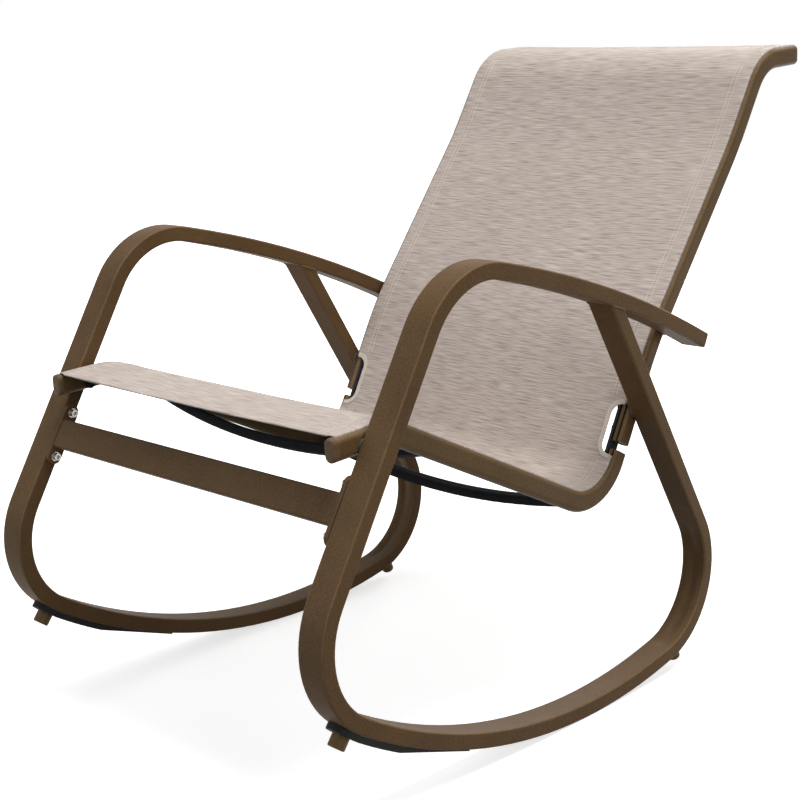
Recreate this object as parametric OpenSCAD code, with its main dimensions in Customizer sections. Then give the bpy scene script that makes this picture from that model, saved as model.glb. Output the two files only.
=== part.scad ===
// Sling rocking chair
// Two bent tube side frames carry slotted sling rails. A taut sling runs over the seat and up the back,
// held by rods in the rails' grooves, and curved spreader bars keep the rails apart.
// Millimetres, +Z up, the front of the chair towards -Y. The origin is on the floor, under the middle
// of the chair's width and depth. The rockers touch the floor a little in front of it.
// Side profiles are walked in a side view: x runs to the back, y runs up and z runs across to the right.
// That view starts at the rocker's lowest point. A run is a list of pieces [length or radius, turn],
// where a piece without a turn is straight, and a positive turn is anticlockwise in the side view.

/* [Overall] */
// Width over the outer faces of the two side frames
overall_width = 630; // [560:1:720]
// Gap left between pieces that slip together
slip = 0.3; // [0.2:0.05:0.5]
// Space between the rails and the side frames, taken up by a spacer at each frame bolt
rail_space = 3; // [2:0.5:6]
// Diameter of those spacers
spacer_diameter = 22; // [20:0.5:24]

/* [Side frame tube] */
// Width of the tube across the chair
tube_across = 40; // [30:1:50]
// Depth of the tube in the side view
tube_deep = 22; // [18:0.5:28]
// Wall of the tube
tube_wall = 1.5; // [1.2:0.1:2.5]
// Outer corner radius of the tube
tube_corner = 3; // [2.8:0.1:6]
// Centreline radius of the three tight bends
bend_radius = 118; // [100:1:130]

/* [Side frame profile] */
// Centreline radius of the rocker
rocker_radius = 900; // [800:5:1100]
// Arc of the rocker in front of its lowest point
rocker_front_turn = 30.5; // [28:0.5:33]
// Arc of the rocker behind its lowest point
rocker_rear_turn = 12.6; // [10:0.2:15]
// Turn of the bend from rocker to front leg
bottom_bend_turn = 88.4; // [85:0.2:91]
// Straight length of the front leg
front_leg_length = 330; // [300:1:350]
// Turn of the bend from front leg to arm
front_bend_turn = 71.9; // [69:0.1:75]
// Centreline radius of the arm
arm_radius = 2135; // [1600:5:3000]
// Arc of the arm
arm_turn = 12.9; // [11:0.1:14]
// Straight length at the arm's rear end
arm_tail = 10; // [5:1:30]
// Turn of the bend from rocker to rear leg
rear_bend_turn = 111.4; // [109:0.2:114]
// How far the rear leg runs into the arm's wall at the weld
weld_bite = 0.8; // [0.5:0.1:1.1]
// Thickness of the plate that closes the arm's end
arm_cap_plate = 2; // [1:0.5:4]
// Length of the plugs inside the tube and rail ends
plug_length = 15; // [8:1:25]

/* [Sling rails] */
// Height of the rail, square to the sling
rail_high = 30; // [28:0.5:34]
// Thickness of the rail across the chair
rail_thick = 16; // [15:0.5:18]
// Wall of the rail
rail_wall = 2; // [1.5:0.1:2.5]
// Bore of the groove that holds the welt rod
groove_bore = 8; // [7.6:0.1:8.4]
// Width of the groove's mouth
groove_mouth = 3; // [2.6:0.1:3.4]
// How far the mouth's middle lies outward of the rail's middle
mouth_offset = 2; // [1:0.1:2.2]
// Side view distance from the rocker's lowest point to the seat rail's front end
seat_reach = 454; // [447:1:472]
// Height of the seat rail's front end
seat_front_height = 457.3; // [445:0.1:470]
// Slope of the seat rail's front end
seat_front_slope = 4; // [0:0.5:8]
// Straight length at the seat's front
seat_front_length = 63; // [60:1:80]
// Radius of the roll at the seat's front
seat_roll_radius = 108; // [80:1:140]
// Turn of the roll at the seat's front
seat_roll_turn = 28.1; // [26:0.1:30]
// Straight length of the seat
seat_length = 375; // [365:1:385]
// Centreline radius where seat turns up into back
crook_radius = 80; // [70:1:90]
// Turn from seat to back
crook_turn = 87.5; // [85:0.5:90]
// Straight end of the seat rail above that turn
seat_stub = 12; // [9:0.5:14]
// Gap between seat rail and back rail
rail_gap = 12.5; // [8:0.5:16]
// Straight length at the back rail's lower end
lumbar_length = 106.5; // [95:0.5:115]
// Radius of the lower back curve
lumbar_radius = 540; // [400:10:700]
// Turn of the lower back curve
lumbar_turn = 9.7; // [8:0.1:11]
// Straight length of the back
back_length = 258; // [220:1:290]
// Radius of the shoulder curve
shoulder_radius = 620; // [400:10:800]
// Turn of the shoulder curve
shoulder_turn = 5.9; // [4:0.1:8]
// Straight length above the shoulder curve
shoulder_length = 71; // [50:1:90]
// Radius of the roll at the top
top_roll_radius = 79; // [60:1:100]
// Turn of the roll at the top
top_roll_turn = 54.3; // [50:0.1:58]
// Straight length at the top end
top_end_length = 51; // [40:1:70]
// How far the end plugs stand out of the rails
rail_cap_plate = 8; // [6:0.5:10]
// Edge radius of the end plugs
rail_cap_edge = 3; // [2:0.5:5]

/* [Sling] */
// Thickness of the sling
sling_thick = 1.2; // [1:0.1:1.2]
// How far the sling's middle sags below its edges
sling_sag = 2; // [1:0.5:15]
// Gap between the sling and the rail's crest
sling_lift = 0.2; // [0.1:0.05:0.5]
// Diameter of the welt rods
rod_diameter = 5; // [4:0.1:5]
// Length of the turned hem at the front edge and the top edge
hem_length = 24; // [15:1:35]
// How far the sling stops short of the rails' ends
sling_end_gap = 1; // [0.5:0.5:3]
// Length of the cut-out at each rail joint
cutout_length = 76; // [70:1:82]
// How far the cut-out starts above the crook
cutout_start = 2.5; // [1:0.5:5]
// Width of the cut-out, in from the sling's edge
cutout_depth = 23; // [18:0.5:30]
// Corner radius of the cut-out
cutout_corner = 12; // [8:0.5:14]
// Width of the binding round the cut-out
trim_width = 9; // [6:0.5:12]
// Thickness of the binding on each face of the sling
trim_thick = 0.5; // [0.3:0.1:0.8]

/* [Joint brackets] */
// Width of the bracket bar
bracket_wide = 22; // [18:0.5:24]
// Thickness of the bracket bar
bracket_thick = 4; // [3:0.5:6]
// How far the bracket starts below the crook's end
bracket_start = 6; // [4:0.5:10]
// How far the bracket runs past the rear leg bolt
bracket_end = 12; // [10.5:0.5:14]
// How far the bracket's middle line lies above the rail's centreline
bracket_rise = 3; // [1:0.5:4]
// Place of the bracket's lower bolt above the crook's end
bracket_low_bolt = 6.5; // [5:0.5:8]
// Place of the bracket's middle bolt above the crook's end
bracket_mid_bolt = 44; // [38:0.5:50]
// Head diameter of the bracket bolts
bracket_head = 13; // [10:0.5:14]
// Head height of the bracket bolts
bracket_head_high = 5; // [3:0.5:7]
// Shank diameter of the bracket bolts
bracket_shank = 6; // [5:0.5:6]

/* [Frame bolts] */
// Shank diameter of the bolts that hold the rails to the side frames
frame_shank = 8; // [6:0.5:8]
// Head diameter of those bolts
frame_head = 15; // [13:0.5:16]
// Head height of those bolts
frame_head_high = 5; // [4:0.5:7]
// Wall round the thread of a rivet nut
nut_wall = 1.5; // [1:0.1:2]
// Flange of a rivet nut beyond its body
nut_lip = 1.2; // [0.8:0.1:1.5]
// Thickness of that flange
nut_flange = 0.8; // [0.5:0.1:1.2]
// Length of a rivet nut inside the tube
nut_length = 13; // [10:0.5:15]

/* [Front stretcher] */
// Height of the stretcher bar along the legs
stretcher_high = 40; // [30:1:50]
// Thickness of the stretcher bar
stretcher_deep = 20; // [14:0.5:22]
// Wall of the stretcher bar
stretcher_wall = 1.2; // [1.2:0.1:2.2]
// Place of the stretcher above the front leg's lower end
stretcher_rise = 104; // [90:1:120]
// Distance between the two bolts in an end plate
stretcher_bolt_pitch = 64; // [60:0.5:70]
// Lobe radius of the end plates
stretcher_lobe = 11; // [9:0.5:12]
// Thickness of the end plates
stretcher_plate = 6; // [4:0.5:8]
// Radius of the fillets between the bar's upper and lower faces and the end plates
stretcher_fillet = 5; // [3:0.5:5]
// Shank diameter of the stretcher bolts
stretcher_shank = 6; // [5:0.5:6]
// Head diameter of the stretcher bolts
stretcher_head = 10; // [9:0.5:12]
// Width across flats of the socket in the heads
stretcher_key = 5; // [4:0.5:6]
// Washer diameter of the stretcher bolts
stretcher_washer = 13; // [12:0.5:13.5]
// Washer thickness
stretcher_washer_thick = 1.6; // [1:0.1:2]

/* [Spreader bars] */
// Width of a spreader bar along the rail
spreader_wide = 24; // [18:0.5:30]
// Height of a spreader bar
spreader_high = 14; // [12:0.5:16]
// Wall of a spreader bar
spreader_wall = 1.5; // [1.2:0.1:2]
// Bow of the front seat spreader
front_spreader_bow = 33; // [20:1:60]
// Place of the front seat spreader behind the seat's front roll
front_spreader_place = 55; // [30:1:90]
// Bow of the rear seat spreader
rear_spreader_bow = 31; // [20:1:60]
// Place of the rear seat spreader along the crook, as an angle
rear_spreader_angle = 32; // [25:1:45]
// Bow of the two back spreaders
back_spreader_bow = 36; // [20:1:60]
// Place of the lower back spreader above the lower back curve
low_back_spreader_place = 60; // [40:1:100]
// Place of the upper back spreader below the shoulder curve
high_back_spreader_place = 25; // [20:1:60]
// How far the middle of a spreader's end lies below the rail's centreline
spreader_drop = 5; // [4:0.5:6]
// Thickness of the plug's flange between a spreader's end and the rail
spreader_flange = 3; // [2:0.5:5]
// Diameter of the plug's spigot in the rail's wall
spreader_spigot = 8; // [6:0.5:8]

/* [Runner strips and stops] */
// Thickness of the rubber strip under the front of the rocker
strip_thick = 8; // [5:0.5:9]
// Width of the strip
strip_across = 36; // [28:1:40]
// Rocker angle in front of the lowest point at which the strip's rear tip lies
strip_start_angle = 17; // [15:0.2:19]
// Rocker angle at which the flat taper towards that tip starts
strip_taper_angle = 25.5; // [23:0.5:28]
// Thickness left at the tip
strip_tip_thick = 1.5; // [1:0.1:3]
// Angle of the strip's front end along the bottom bend
strip_end_angle = 15; // [13:0.5:20]
// Angle of the front stop along the bottom bend
front_stop_angle = 5.4; // [4:0.2:7]
// Radius of the front stop
front_stop_radius = 11; // [8:0.5:12]
// How far the front stop stands out of the tube
front_stop_out = 24; // [18:0.5:30]
// Angle of the rear stop along the rear bend
rear_stop_angle = 11.7; // [9:0.1:14]
// Radius of the rear stop
rear_stop_radius = 10; // [8:0.5:12]
// How far the rear stop stands out of the tube
rear_stop_out = 22; // [15:0.5:24]
// Diameter of the studs that hold the stops
stop_stud = 6; // [5:0.5:8]
// Length of the studs inside the tube
stop_stud_length = 10; // [6:0.5:14]

/* [Hidden] */

// Colours
frame_brown = [0.36, 0.28, 0.22];
rail_brown = [0.42, 0.35, 0.29];
rubber_black = [0.08, 0.08, 0.08];
fitting_black = [0.12, 0.12, 0.12];
bolt_silver = [0.75, 0.75, 0.76];
sling_taupe = [0.74, 0.69, 0.63];
trim_cream = [0.92, 0.87, 0.8];

// Facets of round profiles, of swept bends and of the arm's shallow arc
$fn = 64;
bend_fn = 240;
arm_fn = 3600;
// Straight steps of the sling's sag on each side of its middle
sag_steps = 5;
// Longer than anything that it cuts
beyond = 1500;
// In a run, every second piece is fuller by this much on all its faces and runs this far into its
// neighbours, so that the pieces fuse into one body
seam = 0.03;
seam_lap = 0.4;
// Play between a piece and the bend or rail that it lies on
seat_play = 0.1;

// Planes across the chair
frame_inner_x = overall_width / 2 - tube_across;
frame_mid_x = overall_width / 2 - tube_across / 2;
rail_mid_x = frame_inner_x - rail_space - rail_thick / 2;
rail_outer_x = rail_mid_x + rail_thick / 2;
rail_inner_x = rail_mid_x - rail_thick / 2;
// What is bolted or plugged to the rails' and the legs' inner faces lies just clear of them
rail_seat_x = rail_inner_x - seat_play;
stretcher_end_x = frame_inner_x - seat_play;

// Walking a side profile: a pose is [x, y, heading]
function bend_centre(pose, piece) =
  let (reach = piece[0] * sign(piece[1]))
  [pose[0] - reach * sin(pose[2]), pose[1] + reach * cos(pose[2])];
function bend_point(pose, piece, turn) =
  let (heading = pose[2] + turn)
  let (reach = piece[0] * sign(piece[1]))
  let (centre = bend_centre(pose, piece))
  [centre[0] + reach * sin(heading), centre[1] - reach * cos(heading), heading];
function bend_end(pose, piece) = bend_point(pose, piece, piece[1]);
function straight_end(pose, far) =
  [pose[0] + far * cos(pose[2]), pose[1] + far * sin(pose[2]), pose[2]];
function piece_end(pose, piece) =
  piece[1] == 0 ? straight_end(pose, piece[0]) : bend_end(pose, piece);
function walk(pose, pieces, i = 0) =
  i == len(pieces) ? [pose] : concat([pose], walk(piece_end(pose, pieces[i]), pieces, i + 1));
function aside(pose, off) =
  [pose[0] - off * sin(pose[2]), pose[1] + off * cos(pose[2]), pose[2]];
// Where the line through pose p crosses the line through pose q, as a distance along p
function crossing(p, q) =
  ((q[0] - p[0]) * sin(q[2]) - (q[1] - p[1]) * cos(q[2])) / sin(q[2] - p[2]);
// Where the line through pose p leaves the circle, as a distance along p
function circle_exit(p, centre, radius) =
  let (along = (centre[0] - p[0]) * cos(p[2]) + (centre[1] - p[1]) * sin(p[2]))
  let (off = (centre[1] - p[1]) * cos(p[2]) - (centre[0] - p[0]) * sin(p[2]))
  along + sqrt(radius * radius - off * off);

// Side frame: one run from the arm's rear end to the foot of the rear leg. It is walked once from
// nowhere in particular, to find the start that puts the rocker's lowest point at the view's origin.
frame_run = [
  [arm_tail, 0],
  [arm_radius, arm_turn],
  [bend_radius, front_bend_turn],
  [front_leg_length, 0],
  [bend_radius, bottom_bend_turn],
  [rocker_radius, rocker_front_turn + rocker_rear_turn],
  [bend_radius, rear_bend_turn]
];
arm_heading = -arm_turn - front_bend_turn - bottom_bend_turn - rocker_front_turn;
trial_poses = walk([0, 0, arm_heading], frame_run);
trial_lowest = bend_point(trial_poses[5], frame_run[5], rocker_front_turn);
arm_end_pose = [-trial_lowest[0], tube_deep / 2 + seam - trial_lowest[1], arm_heading];
frame_poses = walk(arm_end_pose, frame_run);
arm_middle = bend_centre(frame_poses[1], frame_run[1]);
bottom_bend_middle = bend_centre(frame_poses[4], frame_run[4]);
rear_bend_middle = bend_centre(frame_poses[6], frame_run[6]);
front_leg_pose = frame_poses[4];
rear_leg_pose = frame_poses[7];

// Rails: the seat rail and the back rail lie on one path
seat_run = [
  [seat_front_length, 0],
  [seat_roll_radius, -seat_roll_turn],
  [seat_length, 0],
  [crook_radius, crook_turn],
  [seat_stub, 0]
];
back_run = [
  [lumbar_length, 0],
  [lumbar_radius, -lumbar_turn],
  [back_length, 0],
  [shoulder_radius, shoulder_turn],
  [shoulder_length, 0],
  [top_roll_radius, -top_roll_turn],
  [top_end_length, 0]
];
seat_poses = walk([-seat_reach, seat_front_height, seat_front_slope], seat_run);
crook_end_pose = seat_poses[4];
back_start_pose = straight_end(seat_poses[5], rail_gap);
back_poses = walk(back_start_pose, back_run);
top_pose = back_poses[7];

// The chair's depth runs from the bottom bend's outside to the tip of the back rails' plugs
front_most = bottom_bend_middle[0] - bend_radius - tube_deep / 2;
top_corner = aside(
  straight_end(top_pose, rail_cap_plate - rail_cap_edge),
  rail_cap_edge - rail_high / 2
);
rear_most = top_corner[0] + rail_cap_edge;
depth_middle = (front_most + rear_most) / 2;

// Rail section: n is square to the sling and w is across, outward of the rail's middle
groove_n = rail_high / 2 - rail_thick / 2;
chamber_top_n = groove_n - groove_bore / 2 - rail_wall;
chamber_radius = rail_thick / 2 - rail_wall;
chamber_low_n = rail_thick / 2 - rail_high / 2;
chamber_mid_n = (chamber_top_n + chamber_low_n - chamber_radius) / 2;

// Sling section
sling_edge_n = rail_high / 2 + sling_lift + sling_thick;
sling_mid_n = sling_edge_n - sling_sag;
sling_edge_x = rail_mid_x + mouth_offset + sling_thick / 2;
pocket_inner = rod_diameter / 2 + 0.1;

// Crossings of rails and side frame, as [x, y, heading] on the rail
chamber_seat_pose = aside(seat_poses[0], chamber_mid_n);
front_leg_bolt = straight_end(chamber_seat_pose, crossing(chamber_seat_pose, front_leg_pose));
bracket_pose = aside(crook_end_pose, bracket_rise);
rear_bolt_along = crossing(bracket_pose, rear_leg_pose);
rear_leg_bolt = straight_end(bracket_pose, rear_bolt_along);
lumbar_middle_pose = bend_point(back_poses[1], back_run[1], -lumbar_turn / 2);
arm_crossing_pose = aside(lumbar_middle_pose, chamber_mid_n);
arm_bolt = straight_end(arm_crossing_pose, circle_exit(arm_crossing_pose, arm_middle, arm_radius));
frame_bolt_poses = [front_leg_bolt, rear_leg_bolt, arm_bolt];
bracket_bolt_poses = [
  straight_end(bracket_pose, bracket_low_bolt),
  straight_end(bracket_pose, bracket_mid_bolt)
];
stretcher_pose = straight_end(front_leg_pose, -stretcher_rise);
stretcher_bolt_poses = [
  for (side = [-1, 1]) straight_end(stretcher_pose, side * stretcher_bolt_pitch / 2)
];
// The fillets stop short of the washers
fillet_room = (stretcher_bolt_pitch - stretcher_washer - stretcher_high) / 2 - slip;
fillet_radius = min(stretcher_fillet, fillet_room);

// Stops: angles from straight down, about the bends' middles
front_stop_tilt = -(rocker_front_turn + front_stop_angle);
rear_stop_tilt = rocker_rear_turn + rear_stop_angle;
bend_outer = bend_radius + tube_deep / 2;

// A point under the rocker, at an angle in front of its lowest point and some way out of the tube
rocker_middle = bend_centre(frame_poses[5], frame_run[5]);
rocker_outer = rocker_radius + tube_deep / 2 + seat_play;
function under_rocker(angle, out) =
  rocker_middle - (rocker_outer + out) * [sin(angle), cos(angle)];

// Spreaders: the pose of each one's end on the rail
front_spreader_pose = straight_end(seat_poses[2], front_spreader_place);
rear_spreader_pose = bend_point(seat_poses[3], seat_run[3], rear_spreader_angle);
low_back_spreader_pose = straight_end(back_poses[2], low_back_spreader_place);
high_back_spreader_pose = straight_end(back_poses[3], -high_back_spreader_place);
spreader_list = [
  [front_spreader_pose, front_spreader_bow],
  [rear_spreader_pose, rear_spreader_bow],
  [low_back_spreader_pose, back_spreader_bow],
  [high_back_spreader_pose, back_spreader_bow]
];

// Stands the side view up in the chair's frame
module side_view() {
  translate([0, -depth_middle, 0])
    rotate([90, 0, 90])
      children();
}

module mirrored() {
  mirror([1, 0, 0])
    children();
}

// Local frame on a pose: x along the run, y square to it, z across the chair
module at(pose) {
  translate([pose[0], pose[1], 0])
    rotate([0, 0, pose[2]])
      children();
}

// Sweeps a section, drawn as [n, w], along one piece of a run. Sections read $grow.
module sweep_piece(pose, piece, grow = 0) {
  centre = bend_centre(pose, piece);
  $grow = grow;
  if (piece[1] == 0) {
    at(pose)
      rotate([90, 0, 90])
        linear_extrude(piece[0])
          children();
  } else if (piece[1] > 0) {
    translate([centre[0], centre[1], 0])
      rotate([0, 0, pose[2] - 90])
        rotate_extrude(angle = piece[1], $fn = bend_fn)
          translate([piece[0], 0])
            mirror([1, 0])
              children();
  } else {
    translate([centre[0], centre[1], 0])
      rotate([0, 0, pose[2] + 90 + piece[1]])
        rotate_extrude(angle = -piece[1], $fn = bend_fn)
          translate([piece[0], 0])
            children();
  }
}

// The same piece made longer by lap at its start and by lap at its end
function lapped_start(pose, piece, lap) =
  piece[1] == 0 ? straight_end(pose, -lap) : bend_point(pose, piece, -lap_turn(piece, lap));
function lap_turn(piece, lap) = sign(piece[1]) * lap / piece[0] * 180 / PI;
function lapped_piece(piece, lap) =
  piece[1] == 0 ? [piece[0] + lap, 0] : [piece[0], piece[1] + lap_turn(piece, lap)];

module sweep_run(poses, pieces) {
  last = len(pieces) - 1;
  for (i = [0 : last]) {
    fuller = i % 2;
    start_lap = fuller * seam_lap;
    end_lap = i < last ? fuller * seam_lap : 0;
    sweep_piece(
      lapped_start(poses[i], pieces[i], start_lap),
      lapped_piece(pieces[i], start_lap + end_lap),
      fuller * seam
    )
      children();
  }
}

module rounded_rectangle(x, y, corner) {
  square([x - 2 * corner, y], center = true);
  square([x, y - 2 * corner], center = true);
  for (sx = [-1, 1])
    for (sy = [-1, 1])
      translate([sx * (x / 2 - corner), sy * (y / 2 - corner)])
        circle(corner);
}

// A slot shape with round ends, its length along x
module stadium(long, wide) {
  square([long - wide, wide], center = true);
  for (s = [-1, 1])
    translate([s * (long - wide) / 2, 0])
      circle(wide / 2);
}

// Side frame

module tube_outline(shrink) {
  rounded_rectangle(tube_deep - 2 * shrink, tube_across - 2 * shrink, tube_corner - shrink);
}

module tube_section() {
  difference() {
    tube_outline(-$grow);
    tube_outline(tube_wall + $grow);
  }
}

// The rear leg, cut off along the arm's underside
module rear_leg() {
  intersection() {
    sweep_piece(straight_end(rear_leg_pose, -seam_lap), [2 * front_leg_length, 0], seam)
      tube_section();
    translate([arm_middle[0], arm_middle[1], -tube_across])
      cylinder(r = arm_radius - tube_deep / 2 + weld_bite, h = 2 * tube_across, $fn = arm_fn);
  }
}

module nut_hole(pose) {
  at(pose)
    translate([0, 0, frame_inner_x - tube_wall])
      cylinder(r = frame_shank / 2 + nut_wall + slip / 2, h = 3 * tube_wall);
}

module stretcher_nut_hole(pose) {
  at(pose)
    translate([0, 0, frame_inner_x - tube_wall])
      cylinder(r = stretcher_shank / 2 + nut_wall + slip / 2, h = 3 * tube_wall);
}

// A hole through the tube's outer wall for a stop's stud
module stud_hole(middle, tilt) {
  at([middle[0], middle[1], tilt])
    translate([0, -bend_outer - tube_wall, frame_mid_x])
      rotate([-90, 0, 0])
        cylinder(r = stop_stud / 2 + slip / 2, h = 3 * tube_wall);
}

module side_frame() {
  color(frame_brown)
    side_view()
      difference() {
        translate([0, 0, frame_mid_x]) {
          sweep_run(frame_poses, frame_run)
            tube_section();
          rear_leg();
        }
        for (pose = frame_bolt_poses)
          nut_hole(pose);
        for (pose = stretcher_bolt_poses)
          stretcher_nut_hole(pose);
        stud_hole(bottom_bend_middle, front_stop_tilt);
        stud_hole(rear_bend_middle, rear_stop_tilt);
      }
}

module arm_cap() {
  color(fitting_black)
    side_view()
      at(arm_end_pose)
        translate([0, 0, frame_mid_x])
          mirror([1, 0, 0])
            rotate([90, 0, 90]) {
              linear_extrude(arm_cap_plate)
                tube_outline(0);
              translate([0, 0, -plug_length])
                linear_extrude(plug_length)
                  tube_outline(tube_wall + slip / 2);
            }
}

// Runner strips and stops

// A flat strip along the bottom bend's outside and the front of the rocker, with a round front end.
// Its rear half is cut off along a plane, down to a thin tip.
module runner_strip() {
  strip_run = [
    [bend_radius, strip_end_angle],
    [rocker_radius, rocker_front_turn - strip_start_angle]
  ];
  strip_start = bend_point(frame_poses[4], frame_run[4], bottom_bend_turn - strip_end_angle);
  nose = (strip_end_angle - front_stop_angle) * bend_outer * PI / 180;
  taper_start = under_rocker(strip_taper_angle, strip_thick);
  taper_end = under_rocker(strip_start_angle, strip_tip_thick);
  taper = taper_end - taper_start;
  color(rubber_black)
    side_view()
      translate([0, 0, frame_mid_x])
        difference() {
          sweep_run(walk(strip_start, strip_run), strip_run)
            translate([-tube_deep / 2 - seat_play - strip_thick - $grow, -strip_across / 2 - $grow])
              square([strip_thick + 2 * $grow, strip_across + 2 * $grow]);
          at([bottom_bend_middle[0], bottom_bend_middle[1], front_stop_tilt])
            rotate([90, 0, 0]) {
              cylinder(r = front_stop_radius + slip, h = 2 * bend_outer);
              translate([0, 0, bend_radius])
                linear_extrude(bend_radius)
                  nose_corners(nose);
            }
          at([taper_start[0], taper_start[1], atan2(taper[1], taper[0])])
            translate([-tube_across, -tube_across, -tube_across])
              cube([beyond, tube_across, 2 * tube_across]);
        }
}

// What a round nose of the strip leaves over, in front of the stop
module nose_corners(nose) {
  radius = strip_across / 2;
  difference() {
    translate([-nose - radius, -strip_across])
      square([2 * radius, 2 * strip_across]);
    translate([radius - nose, 0])
      circle(radius);
  }
}

// A round stop whose base sits on the bend's outside, held by a stud in the tube
module stop(middle, tilt, radius, out, tip) {
  at([middle[0], middle[1], tilt])
    translate([0, 0, frame_mid_x])
      rotate([90, 0, 0]) {
        difference() {
          union() {
            cylinder(r = radius, h = bend_outer + out - tip);
            cylinder(r = radius - tip, h = bend_outer + out);
            translate([0, 0, bend_outer + out - tip])
              rotate_extrude()
                translate([radius - tip, 0])
                  circle(tip);
          }
          rotate([90, 0, 0])
            cylinder(r = bend_outer + seat_play, h = 2 * tube_across, center = true, $fn = bend_fn);
        }
        translate([0, 0, bend_outer - stop_stud_length])
          cylinder(r = stop_stud / 2, h = stop_stud_length + 1);
      }
}

module front_stop() {
  color(frame_brown)
    side_view()
      stop(bottom_bend_middle, front_stop_tilt, front_stop_radius, front_stop_out, 2);
}

module rear_stop() {
  color(frame_brown)
    side_view()
      stop(rear_bend_middle, rear_stop_tilt, rear_stop_radius, rear_stop_out, 4);
}

// Front stretcher

module stretcher_plate_outline() {
  stadium(stretcher_bolt_pitch + 2 * stretcher_lobe, 2 * stretcher_lobe);
}

// A concave fillet between the bar's upper or lower face and an end plate's inner face
module stretcher_fillet_block() {
  width = stretcher_deep - 2 * tube_corner;
  plate_x = stretcher_end_x - stretcher_plate;
  rotate([90, 0, 0])
    linear_extrude(width, center = true)
      difference() {
        translate([stretcher_high / 2 - seam_lap, plate_x - fillet_radius])
          square([fillet_radius + seam_lap, fillet_radius + seam_lap]);
        translate([stretcher_high / 2 + fillet_radius, plate_x - fillet_radius])
          circle(fillet_radius);
      }
}

module front_stretcher() {
  color(frame_brown)
    side_view()
      at(stretcher_pose)
        difference() {
          union() {
            linear_extrude(2 * stretcher_end_x - 2 * stretcher_plate, center = true)
              difference() {
                rounded_rectangle(stretcher_high, stretcher_deep, tube_corner);
                rounded_rectangle(
                  stretcher_high - 2 * stretcher_wall,
                  stretcher_deep - 2 * stretcher_wall,
                  tube_corner - stretcher_wall
                );
              }
            for (side = [-1, 1])
              translate([0, 0, side * (stretcher_end_x - stretcher_plate / 2)])
                linear_extrude(stretcher_plate, center = true)
                  stretcher_plate_outline();
            for (end = [0, 1])
              for (edge = [0, 1])
                mirror([edge, 0, 0])
                  mirror([0, 0, end])
                    stretcher_fillet_block();
          }
          for (end = [-1, 1])
            translate([end * stretcher_bolt_pitch / 2, 0, 0]) {
              cylinder(r = stretcher_shank / 2 + slip, h = beyond, center = true);
              for (side = [-1, 1])
                translate([0, 0, side * stretcher_end_x])
                  cylinder(
                    r = stretcher_shank / 2 + nut_wall + nut_lip + slip,
                    h = 2 * (nut_flange + slip),
                    center = true
                  );
            }
        }
}

// Runs children at each stretcher bolt, with z along the bolt from the plate's inner face outward
module each_stretcher_bolt() {
  side_view()
    for (side = [0, 1])
      mirror([0, 0, side])
        for (pose = stretcher_bolt_poses)
          at(pose)
            translate([0, 0, stretcher_end_x - stretcher_plate])
              children();
}

module stretcher_bolts() {
  color(bolt_silver)
    each_stretcher_bolt() {
      cylinder(r = stretcher_shank / 2, h = stretcher_plate + nut_length);
      translate([0, 0, -stretcher_washer_thick - stretcher_shank])
        difference() {
          cylinder(r = stretcher_head / 2, h = stretcher_shank);
          translate([0, 0, -1])
            cylinder(r = stretcher_key / sqrt(3), h = stretcher_shank / 2 + 1, $fn = 6);
        }
      translate([0, 0, -stretcher_washer_thick])
        cylinder(r = stretcher_shank / 2, h = stretcher_washer_thick);
    }
}

module stretcher_washers() {
  color(bolt_silver)
    each_stretcher_bolt()
      translate([0, 0, -stretcher_washer_thick])
        difference() {
          cylinder(r = stretcher_washer / 2, h = stretcher_washer_thick);
          translate([0, 0, -1])
            cylinder(r = stretcher_shank / 2 + slip, h = stretcher_washer_thick + 2);
        }
}

// A rivet nut: its flange lies on the tube's inner face side and its body stands in the wall
module rivet_nut(shank) {
  difference() {
    union() {
      translate([0, 0, -nut_flange])
        cylinder(r = shank / 2 + nut_wall + nut_lip, h = nut_flange);
      cylinder(r = shank / 2 + nut_wall, h = nut_length);
    }
    translate([0, 0, -1])
      cylinder(r = shank / 2 + 0.05, h = nut_length + 2);
  }
}

module stretcher_nuts() {
  color(bolt_silver)
    each_stretcher_bolt()
      translate([0, 0, stretcher_plate])
        rivet_nut(stretcher_shank);
}

// Sling rails

module rail_section() {
  difference() {
    stadium(rail_high + 2 * $grow, rail_thick + 2 * $grow);
    translate([groove_n, 0])
      circle(groove_bore / 2 - $grow);
    translate([groove_n, mouth_offset - groove_mouth / 2 + $grow])
      square([rail_high, groove_mouth - 2 * $grow]);
    chamber_outline($grow);
  }
}

module chamber_outline(shrink) {
  translate([chamber_low_n, 0])
    circle(chamber_radius - shrink);
  translate([chamber_low_n, -chamber_radius + shrink])
    square([chamber_top_n - chamber_low_n - shrink, 2 * (chamber_radius - shrink)]);
}

module frame_bolt_hole(pose) {
  at(pose)
    translate([0, 0, rail_inner_x - 1])
      cylinder(r = frame_shank / 2 + slip, h = rail_thick + 2);
}

module bracket_bolt_hole(pose) {
  at(pose)
    translate([0, 0, rail_inner_x - 1])
      cylinder(r = bracket_shank / 2 + nut_wall + slip / 2, h = rail_thick - rail_wall + 1);
}

module spigot_hole(spreader) {
  at(spreader[0])
    translate([0, -spreader_drop, rail_inner_x - 1])
      cylinder(r = spreader_spigot / 2 + slip, h = rail_wall + 2);
}

module rail_holes() {
  for (pose = frame_bolt_poses)
    frame_bolt_hole(pose);
  for (pose = bracket_bolt_poses)
    bracket_bolt_hole(pose);
  for (spreader = spreader_list)
    spigot_hole(spreader);
}

module seat_rail() {
  color(rail_brown)
    side_view()
      difference() {
        translate([0, 0, rail_mid_x])
          sweep_run(seat_poses, seat_run)
            rail_section();
        rail_holes();
      }
}

module back_rail() {
  color(rail_brown)
    side_view()
      difference() {
        translate([0, 0, rail_mid_x])
          sweep_run(back_poses, back_run)
            rail_section();
        rail_holes();
      }
}

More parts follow.
